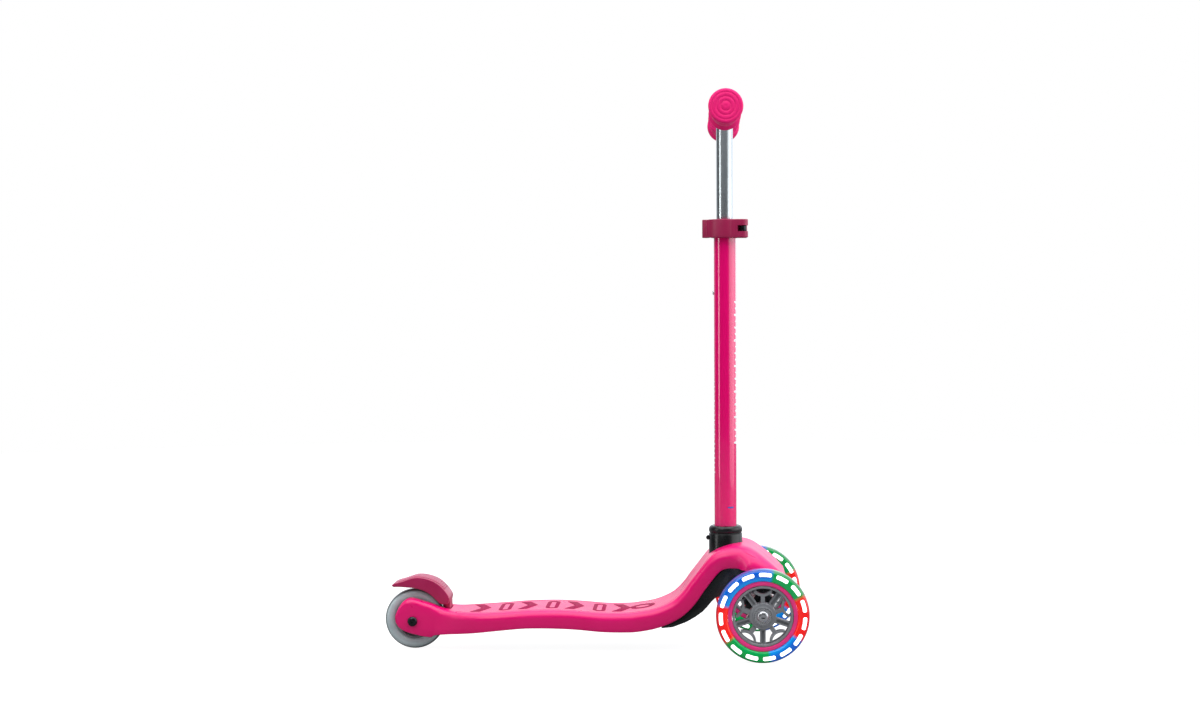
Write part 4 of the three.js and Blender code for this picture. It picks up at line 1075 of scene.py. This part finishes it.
def rim_model():
    body = hoop(HOOP_INNER, HOOP_OUTER, 9, "rim_right_finished")
    hub = turned("hub", [(0, -10), (12.4, -10), (13, -9.4), (13, -6), (17.2, -6), (17.2, 7.4),
                         (16.4, 8.4), (13.0, 8.8), (12.4, 10), (0, 10)], 80)
    carve(body, hub, "UNION")
    straight = plate("spoke", [(12, -3.6), (HOOP_INNER + 1, -3.6), (HOOP_INNER + 1, 3.6), (12, 3.6)],
                     -3, 7)
    groove = plate("groove_cutter", [(18.5, -1.9), (HOOP_INNER - 0.8, -1.9),
                                     (HOOP_INNER - 0.8, 1.9), (18.5, 1.9)], 4.2, 20)
    carve(straight, round_edges(groove, 0.0008, 3))
    for piece in spun_copies(round_edges(straight, 0.00035, 2), SPOKES, 54):
        carve(body, piece, "UNION")
    cup = plate("tulip", [
        *bow(HOOP_INNER + 5, 0, 15.4, 128, 232, 16), *bow(HOOP_INNER + 5, 0, 12.2, 236, 124, 16),
    ], -3, 7)
    stem = plate("stem", [(12, -2.6), (HOOP_INNER - 9.6, -2.6), (HOOP_INNER - 9.6, 2.6), (12, 2.6)],
                 -3, 7)
    carve(cup, stem, "UNION")
    inside = turned("trim", [(0, -12), (HOOP_OUTER - 1, -12), (HOOP_OUTER - 1, 12), (0, 12)], 96)
    carve(cup, inside, "INTERSECT")
    for piece in spun_copies(round_edges(cup, 0.0004, 2), SPOKES, 18):
        carve(body, piece, "UNION")
    bore = turned("bore_cutter", [(0, -30), (11.2, -30), (11.2, -2.7), (6.6, -2.7), (6.6, 2.7),
                                  (11.2, 2.7), (11.2, 30), (0, 30)], 64)
    return carve(body, bore)


rim_right = rim_model()
rim_left = copied(rim_right, "rim_left_finished")
for side, piece in (("left", rim_left), ("right", rim_right)):
    settle(piece, middle(f"tyre_{side}"), SIDEWAYS[side])
    dress(piece, rim_grey, f"wheel_{side}", [f"rim_{side}"])

# %% [markdown]
# Each wheel turns on two ball bearings and a spacer round the axle bolt. The bearing is a
# lathe part with a grooved shield. The bolt has a round button head with a hexagonal socket,
# which is cut with a six-sided tool.


# %% Bearings, spacers and axle bolts
def bearing_profile(low, high):
    """Two races and a shield that is sunk a little into each face."""
    return [(4.2, low), (6.1, low), (6.3, low + 0.35), (8.9, low + 0.35), (9.1, low),
            (10.8, low), (11, low + 0.3), (11, high - 0.3), (10.8, high), (9.1, high),
            (8.9, high - 0.35), (6.3, high - 0.35), (6.1, high), (4.2, high), (4.2, low)]


def button_bolt(name, end, face, radius, rise, socket, shank=4.0):
    """A domed head with a hexagonal socket, and its plain shank."""
    profile = [(0, end), (shank - 0.5, end), (shank, end + 0.6), (shank, face), (radius, face),
               (radius, face + rise * 0.22)]
    for k in range(1, 9):
        t = math.radians(90 * k / 8)
        profile.append((radius * math.cos(t) * 0.98, face + rise * (0.22 + 0.78 * math.sin(t))))
    profile[-1] = (0, face + rise)
    bolt = turned(name, profile, 64)
    hexagon = plate("socket_cutter", bow(0, 0, socket, 0, 300, 5), face + rise * 0.3,
                    face + rise + 3)
    return round_edges(carve(bolt, hexagon), 0.0002, 2, 50)


for side in ("left", "right"):
    axle, turn = middle(f"tyre_{side}"), SIDEWAYS[side]
    for place, low in (("outer", 3), ("inner", -10)):
        race = turned(f"race_{place}_{side}", bearing_profile(low, low + 7), 64, axle, turn)
        dress(race, plated, f"wheel_{side}", [f"bearing_{place}_{side}"])
    tube = turned(f"hub_spacer_{side}", closed([(4.2, 2.2), (4.5, 2.6), (5.9, 2.6), (6.2, 2.2)]),
                  48, axle, turn)
    dress(tube, plated, f"steer_{side}", [f"wheel_spacer_{side}"])
    bolt = settle(button_bolt(f"wheel_bolt_{side}", -36, 10.3, 7.7, 4.4, 3.4), axle, turn)
    dress(bolt, plated, f"steer_{side}", [f"axle_bolt_{side}"])

# %% [markdown]
# ## The rear wheel
# The rear wheel is smaller, with a frosted clear tyre on a pale core. Six slots lighten the
# core. The axle bolt has a black domed head on the near side and a hexagonal nut on the far
# side.

# %% Rear tyre, core and axle
REAR_TURN = (math.pi / 2, 0, 0)
rear_face = [(26.7, 9.4), (27.6, 10.4), (30, 11.5), (33, 12), (35.6, 11.6), (37.6, 10.3),
             (39.1, 8.2), (39.8, 6), (40, 3.5)]
rear = turned("rear_tyre_finished", closed(rear_face), 144, REAR, REAR_TURN)
dress(rear, clear_grey, "wheel_rear", ["rear_tyre"], angle=50)
core = hoop(23.2, 26.4, 9.4, "rear_core_finished")
web = turned("web", [(0, -4), (25.4, -4), (25.4, 4), (0, 4)], 96)
window = plate("window_cutter", bow(18.8, -4.4, 2.1, 180, 360, 8) + bow(18.8, 4.4, 2.1, 0, 180, 8),
               -20, 20)
for cutter in spun_copies(window, 6, 0):
    carve(web, cutter)
carve(core, round_edges(web, 0.0004, 2), "UNION")
hub = turned("rear_hub", [(0, -14.4), (13.4, -14.4), (14, -13.8), (14, 13.8), (13.4, 14.4),
                          (0, 14.4)], 72)
carve(core, hub, "UNION")
bore = turned("bore_cutter", [(0, -30), (11.2, -30), (11.2, -7.1), (6.6, -7.1), (6.6, 7.1),
                              (11.2, 7.1), (11.2, 30), (0, 30)], 64)
settle(carve(core, bore), REAR, REAR_TURN)
dress(core, core_grey, "wheel_rear", ["rear_core"])
for place, low in (("right", 7.4), ("left", -14.4)):
    race = turned(f"rear_race_{place}", bearing_profile(low, low + 7), 64, REAR, REAR_TURN)
    dress(race, plated, "wheel_rear", [f"rear_bearing_{place}"])
tube = turned("rear_spacer_finished", closed([(4.2, 6.6), (4.5, 7.0), (5.9, 7.0), (6.2, 6.6)]),
              48, REAR, REAR_TURN)
dress(tube, plated, "deck", ["rear_spacer"])
bolt = settle(button_bolt("rear_bolt", -37.2, 32.3, 6.5, 3.6, 2.6), REAR, REAR_TURN)
dress(bolt, dark_steel, "deck", ["rear_axle_bolt"])
nut = refined("rear_axle_nut", "rear_nut", 0.0004, 30)
dress(nut, plated, "deck", ["rear_axle_nut"])

# %% [markdown]
# ## The foot brake
# The brake is a sprung fender hinged on a pin in the deck. From the side it is an arched
# blade with a tail that turns up. It is cut from that outline, its top edges are rolled over,
# and the room for the tyre is turned out of its underside. A row of low ridges along the top
# gives the shoe something to push on.

# %% Brake fender
BRAKE_TOP = [
    (-29.6, 47), (-24, 49.6), (-13.5, 52.4), (-3, 56), (5, 57.2), (16, 55.8), (28, 51.4),
    (38, 43.6), (45.6, 34), (48, 28.4), (46.2, 21),
]
BRAKE_UNDER = [
    (39.5, 21), (35, 22.5), (29.5, 27.8), (22, 34.6), (13, 39.6), (2, 42.8), (-8, 43.8),
    (-18, 44.6), (-27, 44.6),
]
BRAKE_HALF, BRAKE_SKIN = 22.0, 3.5


def stood_up(piece, place):
    """Turns a plate cut in X and Y up on edge, so that it lies across the scooter."""
    return settle(piece, place, (math.pi / 2, 0, 0))


top_line = [tuple(point[:2]) for point in flowing(BRAKE_TOP[:-1], 2.2)] + [BRAKE_TOP[-1]]
under_line = [tuple(point[:2]) for point in flowing(BRAKE_UNDER, 2.5)]
fender = plate("fender", top_line + under_line, -BRAKE_HALF, BRAKE_HALF)
fender = round_edges(fender, 0.0032, 5, 60)
roof = []
for x, z in top_line[6:-3]:
    length = math.hypot(x, z)
    roof.append((x * (1 - BRAKE_SKIN / length), z * (1 - BRAKE_SKIN / length)))
hollow = plate("hollow_cutter", roof + [(41, 10), (0, 10), (-14, 40)], -18.5, 18.5)
carve(fender, round_edges(hollow, 0.002, 3, 60))
tongue = plate("tongue", [(47.6, 27), (48.2, 9.6), (42, 9.6), (41.4, 14), (41.4, 22), (43, 30)],
               -14.2, 14.2)
carve(fender, round_edges(tongue, 0.0006, 2), "UNION")
tyre_room = turned("room_cutter", [(0, -15), (43.2, -15), (43.2, 15), (0, 15)], 96)
carve(fender, tyre_room)
pin_hole = turned("pin_cutter", [(0, -30), (2.1, -30), (2.1, 30), (0, 30)], 32, (0.0452, 0.013, 0))
stood_up(carve(fender, pin_hole), REAR)
dress(fender, brake_berry, "brake", ["brake_fender"], angle=40)


# %% Ridges on the brake
def ridge_line(line, start, end, pitch, height):
    """A saw-tooth strip that follows a line between two places along it."""
    outside, inside = [], []
    travelled = 0.0
    for (ax, az), (bx, bz) in zip(line, line[1:]):
        step = math.hypot(bx - ax, bz - az)
        for k in range(8):
            s = travelled + step * k / 8
            if start <= s <= end:
                t = k / 8
                x, z = ax + (bx - ax) * t, az + (bz - az) * t
                nx, nz = -(bz - az) / step, (bx - ax) / step
                wave = 0.5 - 0.5 * math.cos(2 * math.pi * (s - start) / pitch)
                lift = height * wave + 0.05
                outside.append((x + nx * lift, z + nz * lift))
                inside.append((x - nx * 0.8, z - nz * 0.8))
        travelled += step
    return outside + inside[::-1]


tread = plate("fender_tread", ridge_line(top_line, 9, 78, 3.1, 0.75), -16.5, 16.5)
stood_up(round_edges(tread, 0.0003, 2, 60), REAR)
dress(tread, brake_berry, "brake", angle=50)

# %% [markdown]
# ## Collar, tube and latch
# The steering tube drops into a black collar and is held by a sprung pin. A small tab on the
# back of the collar pushes the pin in. The tube is painted steel with three holes for the
# height pin and a row of printed marks.

# %% Collar and release button
low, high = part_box("steering_collar")
top = high.z / MM
COLLAR = [
    (15.3, 90.7), (19, 90.7), (19, 128), (22.1, 128), (22.5, 128.4), (22.5, top - 11.2),
    (22.3, top - 10.8), (21.5, top - 10.3), (21.5, top - 8.7), (22.3, top - 8.2),
    (22.5, top - 7.8), (22.5, top - 4), (22.2, top - 3), (21.4, top - 1.6), (20.2, top - 0.5),
    (19, top), (16.2, top), (15.5, top - 0.4), (15.3, top - 1.2), (15.3, 90.7),
]
collar = turned("collar", COLLAR, 112, (STEM.x, 0, 0))
LATCH_MM = 147.5
latch_z = LATCH_MM * MM
pocket = block("pocket_cutter", (STEM.x - 0.026, -0.0033, latch_z - 0.0033),
               (STEM.x - 0.0192, 0.0033, latch_z + 0.0033))
carve(collar, pocket)
latch_hole = turned("latch_cutter", [(0, 10), (2.9, 10), (2.9, 30), (0, 30)], 32,
                    (STEM.x, 0, latch_z), (0, -math.pi / 2, 0))
carve(collar, latch_hole)
dress(collar, black_plastic, "deck", ["steering_collar"])
tab = plate("release_tab", [(-22.5, -3), (-24.6, -3), (-25.6, -1.9), (-26.8, 0.3), (-26.3, 1),
                            (-24.3, 3), (-22.5, 3)], -3, 3)
settle(round_edges(tab, 0.0004, 3), (STEM.x, 0, latch_z), (math.pi / 2, 0, 0))
stem = turned("release_stem", [(0, 17.5), (2.2, 17.5), (2.5, 17.8), (2.5, 23.4), (0, 23.4)], 32,
              (STEM.x, 0, latch_z), (0, -math.pi / 2, 0))
carve(tab, stem, "UNION")
dress(tab, black_plastic, "release_button", ["release_button"])

# %% Steering tube with its holes
low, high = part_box("outer_tube")
foot, top = low.z / MM, high.z / MM
OUTER, INNER = 15.0, 13.2
tube = turned("steering_tube", [(INNER, foot), (OUTER - 0.3, foot), (OUTER, foot + 0.3),
                                (OUTER, top - 0.3), (OUTER - 0.3, top), (INNER, top),
                                (INNER, foot)], 128, (STEM.x, 0, 0))
PIN_Z, HOLE_STEP = 478.0, 50
for name, radius, z in (("latch_cutter", 3.1, LATCH_MM), ("hole_1", 3.3, PIN_Z - HOLE_STEP),
                        ("hole_2", 3.3, PIN_Z), ("hole_3", 3.3, PIN_Z + HOLE_STEP)):
    tool = turned(name, [(0, 8), (radius, 8), (radius, 20), (0, 20)], 40,
                  (STEM.x, 0, z * MM), (0, -math.pi / 2, 0))
    carve(tube, tool)
slit = block("slit_cutter", (STEM.x, -0.001, (top - 27) * MM), (STEM.x + 0.03, 0.001, 0.6))
carve(tube, slit)
dress(tube, paint_pink, "column", ["outer_tube"])
for source, material, body, slot in (
        ("tube_plug", black_plastic, "column", "black"), ("latch_clip", plated, "column", "steel"),
        ("top_bush", black_plastic, "column", "black"), ("foot_bush", black_plastic, "t_bar", "black"),
        ("height_clip", plated, "t_bar", "steel")):
    dress(refined(source, f"{source}_finished", 0.0003, 30), material, body, [source])
pin = turned("height_pin", [(0, 9), (2.7, 9), (3, 9.3), (3, 15), (2.85, 15.9), (2.3, 16.5),
                            (1.2, 16.75), (0, 16.8)], 40, (STEM.x, 0, PIN_Z * MM),
             (0, -math.pi / 2, 0))
dress(pin, plated, "height_button", ["height_button"])

# %% [markdown]
# Printed marks follow the tube. They are cut flat, with their width along X, and wrapped: the
# distance across becomes an angle round the tube. The long bars and short bars are a plain
# ladder of rounded strokes.


# %% Wrap printed marks round the tube
def stroke(y, half_width, half_height):
    r = half_height
    return bow(half_width - r, y, r, -90, 90, 6) + bow(-half_width + r, y, r, 90, 270, 6)


def wrapped(piece, facing, radius=OUTER):
    """X in the flat piece is the way round, Y the height and Z the thickness."""
    for vertex in piece.data.vertices:
        x, y, z = (value / MM for value in vertex.co)
        angle = math.radians(facing) + x / radius
        reach = radius + z
        vertex.co = (STEM.x + reach * math.cos(angle) * MM, reach * math.sin(angle) * MM, y * MM)
    return piece


def ladder(name, facing, low, high, pitch, widths):
    strokes = []
    z, k = low, 0
    while z < high:
        strokes.append(plate(f"{name}_{k}", stroke(z, widths[k % len(widths)], 1.5), -0.1, 0.12))
        z, k = z + pitch, k + 1
    return wrapped(sliced(join(strokes, name), 0.0011), facing)


front_marks = ladder("front_marks", -14, 276, 470, 8.6, (6.4, 4.2, 5.4, 3.0))
dress(front_marks, white_print, "column")
back_marks = ladder("back_marks", 190, 236, 362, 6.4, (3.0, 2.0, 2.6))
dress(back_marks, white_print, "column")
limit_mark = wrapped(sliced(plate("limit_mark", stroke(189, 4.6, 1.0), -0.1, 0.12), 0.0011), -62)
dress(limit_mark, blue_print, "column")

# %% [markdown]
# ## Handlebar
# The T-bar is one silver tube that slides in the pink one, with a crossbar through its top.
# The two tubes are turned and merged by boolean union, and a small bead of weld closes the
# joint.

# %% T-bar
BAR_MM = BAR_Z / MM
low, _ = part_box("t_bar")
stem_low = low.z / MM
ROD = 11.2
upright = turned("handlebar", [(9.7, stem_low), (ROD - 0.3, stem_low), (ROD, stem_low + 0.3),
                               (ROD, BAR_MM - 15), (ROD + 0.7, BAR_MM - 13.2),
                               (ROD + 1.4, BAR_MM - 11.4), (ROD + 1.3, BAR_MM - 9),
                               (ROD - 1, BAR_MM - 4), (9.7, BAR_MM - 4), (9.7, stem_low)],
                 112, (STEM.x, 0, 0))
cross = turned("crossbar", [(9.7, -118), (ROD - 0.4, -118), (ROD, -117.6), (ROD, 117.6),
                            (ROD - 0.4, 118), (9.7, 118), (9.7, -118)], 112,
               (STEM.x, 0, BAR_Z), (-math.pi / 2, 0, 0))
carve(upright, cross, "UNION")
button_hole = turned("hole_cutter", [(0, 6), (3.3, 6), (3.3, 14), (0, 14)], 32,
                     (STEM.x, 0, PIN_Z * MM), (0, -math.pi / 2, 0))
carve(upright, button_hole)
dress(upright, silver_tube, "t_bar", ["t_bar"])

# %% [markdown]
# The grips are soft rubber, waisted for small hands, with a flange at each end so that a hand
# can't slide off. A lathe profile gives the whole shape. Fine ribs run round the middle, and
# the closed end carries concentric rings.


# %% Grips
def grip_profile():
    bore, inner, end = 11.5, 34.0, 140.0
    body = [(bore, inner), (20.2, inner), (20.7, inner + 0.5), (21.7, inner + 1.6),
            (21.7, inner + 3.4), (21.0, inner + 4.6), (19.0, inner + 6.4), (17.4, inner + 9)]
    for k in range(1, 121):
        t = k / 121
        along = inner + 9 + t * 82
        waist = 17.0 + 1.6 * math.sin(math.pi * t)
        rib = 0.42 * max(0.0, math.cos(2 * math.pi * t * 24)) if 0.06 < t < 0.94 else 0.0
        body.append((waist + rib, along))
    body += [(17.6, inner + 92.5), (18.8, inner + 95), (20.6, inner + 97.6), (22.0, inner + 99.6),
             (22.5, inner + 101), (22.5, end - 2.8), (22.2, end - 1.6), (21.4, end - 0.6),
             (20.2, end - 0.1), (19.2, end)]
    for radius in (17.6, 12.0, 6.4):
        body += [(radius + 0.6, end), (radius + 0.3, end - 0.25), (radius - 0.3, end - 0.25),
                 (radius - 0.6, end)]
    body += [(1.4, end), (0, end - 0.2)]
    return [(r, z) for r, z in body] + [(0, 118.3), (bore, 118.3), (bore, inner)]


for side in ("left", "right"):
    grip = turned(f"rubber_grip_{side}", grip_profile(), 96, (STEM.x, 0, BAR_Z), SIDEWAYS[side])
    dress(grip, grip_pink, "t_bar", [f"grip_{side}"], angle=60)

# %% [markdown]
# ## Clamp
# A split collar grips the tube where the handlebar slides in. A cam lever wraps round it and
# pulls its two ears together through a cross bolt. Ring and lever are cut from outlines and
# all their edges are rolled over, because fingers work them.

# %% Clamp ring, lever and hardware
CLAMP_Z = (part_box("clamp_lever")[0].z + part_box("clamp_lever")[1].z) / 2
clamp_place = (STEM.x, 0, CLAMP_Z)
HALF = 12.2
ring = turned("clamp_body", [(15.3, -HALF), (18.4, -HALF), (19, -HALF + 0.6), (19, HALF - 0.6),
                             (18.4, HALF), (15.8, HALF), (15.8, HALF - 5), (15.3, HALF - 5),
                             (15.3, -HALF)], 112)
ears = round_edges(block("ears", (0.0155, -0.008, -HALF * MM), (0.030, 0.008, HALF * MM)),
                   0.0012, 4)
carve(ring, ears, "UNION")
for cutter in (
        turned("bore_cutter", [(0, -40), (15.3, -40), (15.3, HALF - 5), (15.8, HALF - 5),
                               (15.8, 40), (0, 40)], 112),
        block("slit_cutter", (0, -0.0015, -0.04), (0.06, 0.0015, 0.04)),
        turned("bolt_cutter", [(0, -30), (3.1, -30), (3.1, 30), (0, 30)], 40, (0.024, 0, 0),
               (-math.pi / 2, 0, 0))):
    carve(ring, cutter)
dress(settle(ring, clamp_place), berry, "column", ["clamp_ring"])


def lever_outline():
    inner, outer = 19.8, 24.5
    tail = [(-29.4, -4.4), (-30.3, -2), (-30.4, 0.6), (-30.0, 2.9), (-29.0, 4.7), (-27.4, 5.9),
            (-25.6, 6.4), (-23.4, 5.8), (-21.4, 4.4)]
    return (bow(24, -16, 7, 60, -90, 18) + bow(0, 0, outer, -68, -165, 26) + tail
            + bow(0, 0, inner, -178, -50, 34) + [(14.6, -12.6), (16.4, -11)])


lever = round_edges(plate("lever", lever_outline(), -HALF, HALF), 0.0013, 4, 30)
pin_bore = turned("pin_cutter", [(0, -HALF + 2.6), (3.5, -HALF + 2.6), (3.5, HALF - 2.6),
                                 (0, HALF - 2.6)], 40, (0.024, -0.016, 0))
carve(lever, pin_bore)
carve(lever, block("slot_cutter", (0.017, -0.036, -0.004), (0.044, 0.020, 0.004)))
dress(settle(lever, clamp_place), berry, "clamp_lever", ["clamp_lever"])
cross_bolt = refined("clamp_bolt", "clamp_bolt_finished", 0.0004, 30)
dress(cross_bolt, plated, "column", ["clamp_bolt"])
barrel = refined("clamp_barrel", "clamp_barrel_finished", 0.0004, 30)
dress(barrel, dark_steel, "column", ["clamp_barrel"])

# %% [markdown]
# ## Any frame node that still shows
# Every node of this frame has been stood in for above. A node that is added to the frame later
# keeps its own shape, and this gives it the plated finish.

# %% Finish what is left of the frame
for name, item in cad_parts.items():
    for slot_item in item.material_slots:
        slot_item.material = plated

# %% [markdown]
# ## Floor, light and camera
# A plain pale studio: a round floor, a large soft light overhead, a wall of light in front of
# the wheels, a strip behind and a small box high beside the camera. The world is white to the
# camera. To reflections it is a slope: bright ahead, above and on the far side, which lays a
# sheen on the deck's top, and dim on the near side, so that metal keeps a dark line.

# %% Studio
scene = bpy.context.scene
world = bpy.data.worlds.new("studio")
scene.world = world
world.use_nodes = True
tree = world.node_tree
seen = tree.nodes["Background"]
seen.inputs["Color"].default_value = (1.0, 1.0, 1.0, 1)
seen.inputs["Strength"].default_value = 1.0
dim = node(tree, "ShaderNodeBackground")
dim.inputs["Color"].default_value = (0.9, 0.93, 1.0, 1)
view_way = tree.nodes.new("ShaderNodeTexCoord").outputs["Generated"]
slope = node(tree, "ShaderNodeVectorMath", operation="DOT_PRODUCT")
slope.inputs[1].default_value = (0.6, 0.68, 0.42)
wire(tree, view_way, slope.inputs[0])
glow = node(tree, "ShaderNodeMapRange")
for label, value in (("From Min", -0.35), ("From Max", 0.95), ("To Min", 0.03), ("To Max", 1.45)):
    glow.inputs[label].default_value = value
wire(tree, slope.outputs["Value"], glow.inputs["Value"])
wire(tree, glow.outputs["Result"], dim.inputs["Strength"])
mix = tree.nodes.new("ShaderNodeMixShader")
wire(tree, tree.nodes.new("ShaderNodeLightPath").outputs["Is Camera Ray"], mix.inputs[0])
wire(tree, dim.outputs[0], mix.inputs[1])
wire(tree, seen.outputs[0], mix.inputs[2])
wire(tree, mix.outputs[0], tree.nodes["World Output"].inputs["Surface"])
scene.view_settings.view_transform = "Standard"

floor = turned("floor", [(0, 0), (800, 0), (2600, 0), (4200, 0)], 96)
pale, tree, shader, coords = new_material("pale_floor")
clouds = grouped(tree, RUB, coords, 2.0).outputs["Mask"]
wire(tree, blended(tree, clouds, (0.2, 0.2, 0.205, 1), (0.23, 0.23, 0.23, 1)),
     shader.inputs["Base Color"])
shader.inputs["Roughness"].default_value = 0.9
shader.inputs["Emission Color"].default_value = (1, 1, 1, 1)
lift = node(tree, "ShaderNodeMath", operation="MULTIPLY")
FLOOR_GLOW = 0.93
lift.inputs[1].default_value = FLOOR_GLOW
wire(tree, tree.nodes.new("ShaderNodeLightPath").outputs["Is Camera Ray"], lift.inputs[0])
wire(tree, lift.outputs[0], shader.inputs["Emission Strength"])
floor.data.materials.append(pale)
smooth(floor)


def softbox(name, place, aim, size, power, colour=(1, 1, 1)):
    light = bpy.data.lights.new(name, "AREA")
    light.shape = "RECTANGLE"
    light.size, light.size_y = size
    light.energy = power
    light.color = colour
    lamp = bpy.data.objects.new(name, light)
    bpy.context.collection.objects.link(lamp)
    lamp.location = place
    lamp.rotation_euler = (Vector(aim) - Vector(place)).to_track_quat("-Z", "Y").to_euler()
    return lamp


CENTRE = (0.0, 0.0, 0.3)
softbox("overhead", (0.0, -0.4, 2.2), CENTRE, (3.2, 2.6), 56)
softbox("front_wall", (2.3, -0.6, 0.8), CENTRE, (2.6, 2.4), 26)
softbox("back_strip", (-2.2, -1.0, 0.7), CENTRE, (0.5, 2.2), 14)
softbox("camera_side", (-1.3, -2.6, 2.3), CENTRE, (1.2, 1.2), 18)

# %% Camera
# A long lens low and in front of the side, turned a little, with the frame shifted sideways.
SENSOR_MM, LENS_MM, SIDE_SHIFT = 36, 57.86, -0.094
YAW_DEG, PITCH_DEG, ROLL_DEG = 0.378, -1.42, -0.1725
EYE = (0.1425, -2.601, 0.4517)
cam = bpy.data.cameras.new("camera")
camera = bpy.data.objects.new("camera", cam)
bpy.context.collection.objects.link(camera)
cam.sensor_width = SENSOR_MM
cam.lens = LENS_MM
cam.shift_x = SIDE_SHIFT
yaw, pitch, roll = (math.radians(value) for value in (YAW_DEG, PITCH_DEG, ROLL_DEG))
ahead = Vector((math.sin(yaw) * math.cos(pitch), math.cos(yaw) * math.cos(pitch),
                math.sin(pitch)))
level = Vector((math.cos(yaw), -math.sin(yaw), 0))
above = level.cross(ahead)
right = level * math.cos(roll) + above * math.sin(roll)
up = above * math.cos(roll) - level * math.sin(roll)
turn = Matrix((right, up, -ahead)).transposed().to_4x4()
camera.matrix_world = Matrix.Translation(EYE) @ turn
scene.camera = camera
print("camera at", camera.location)
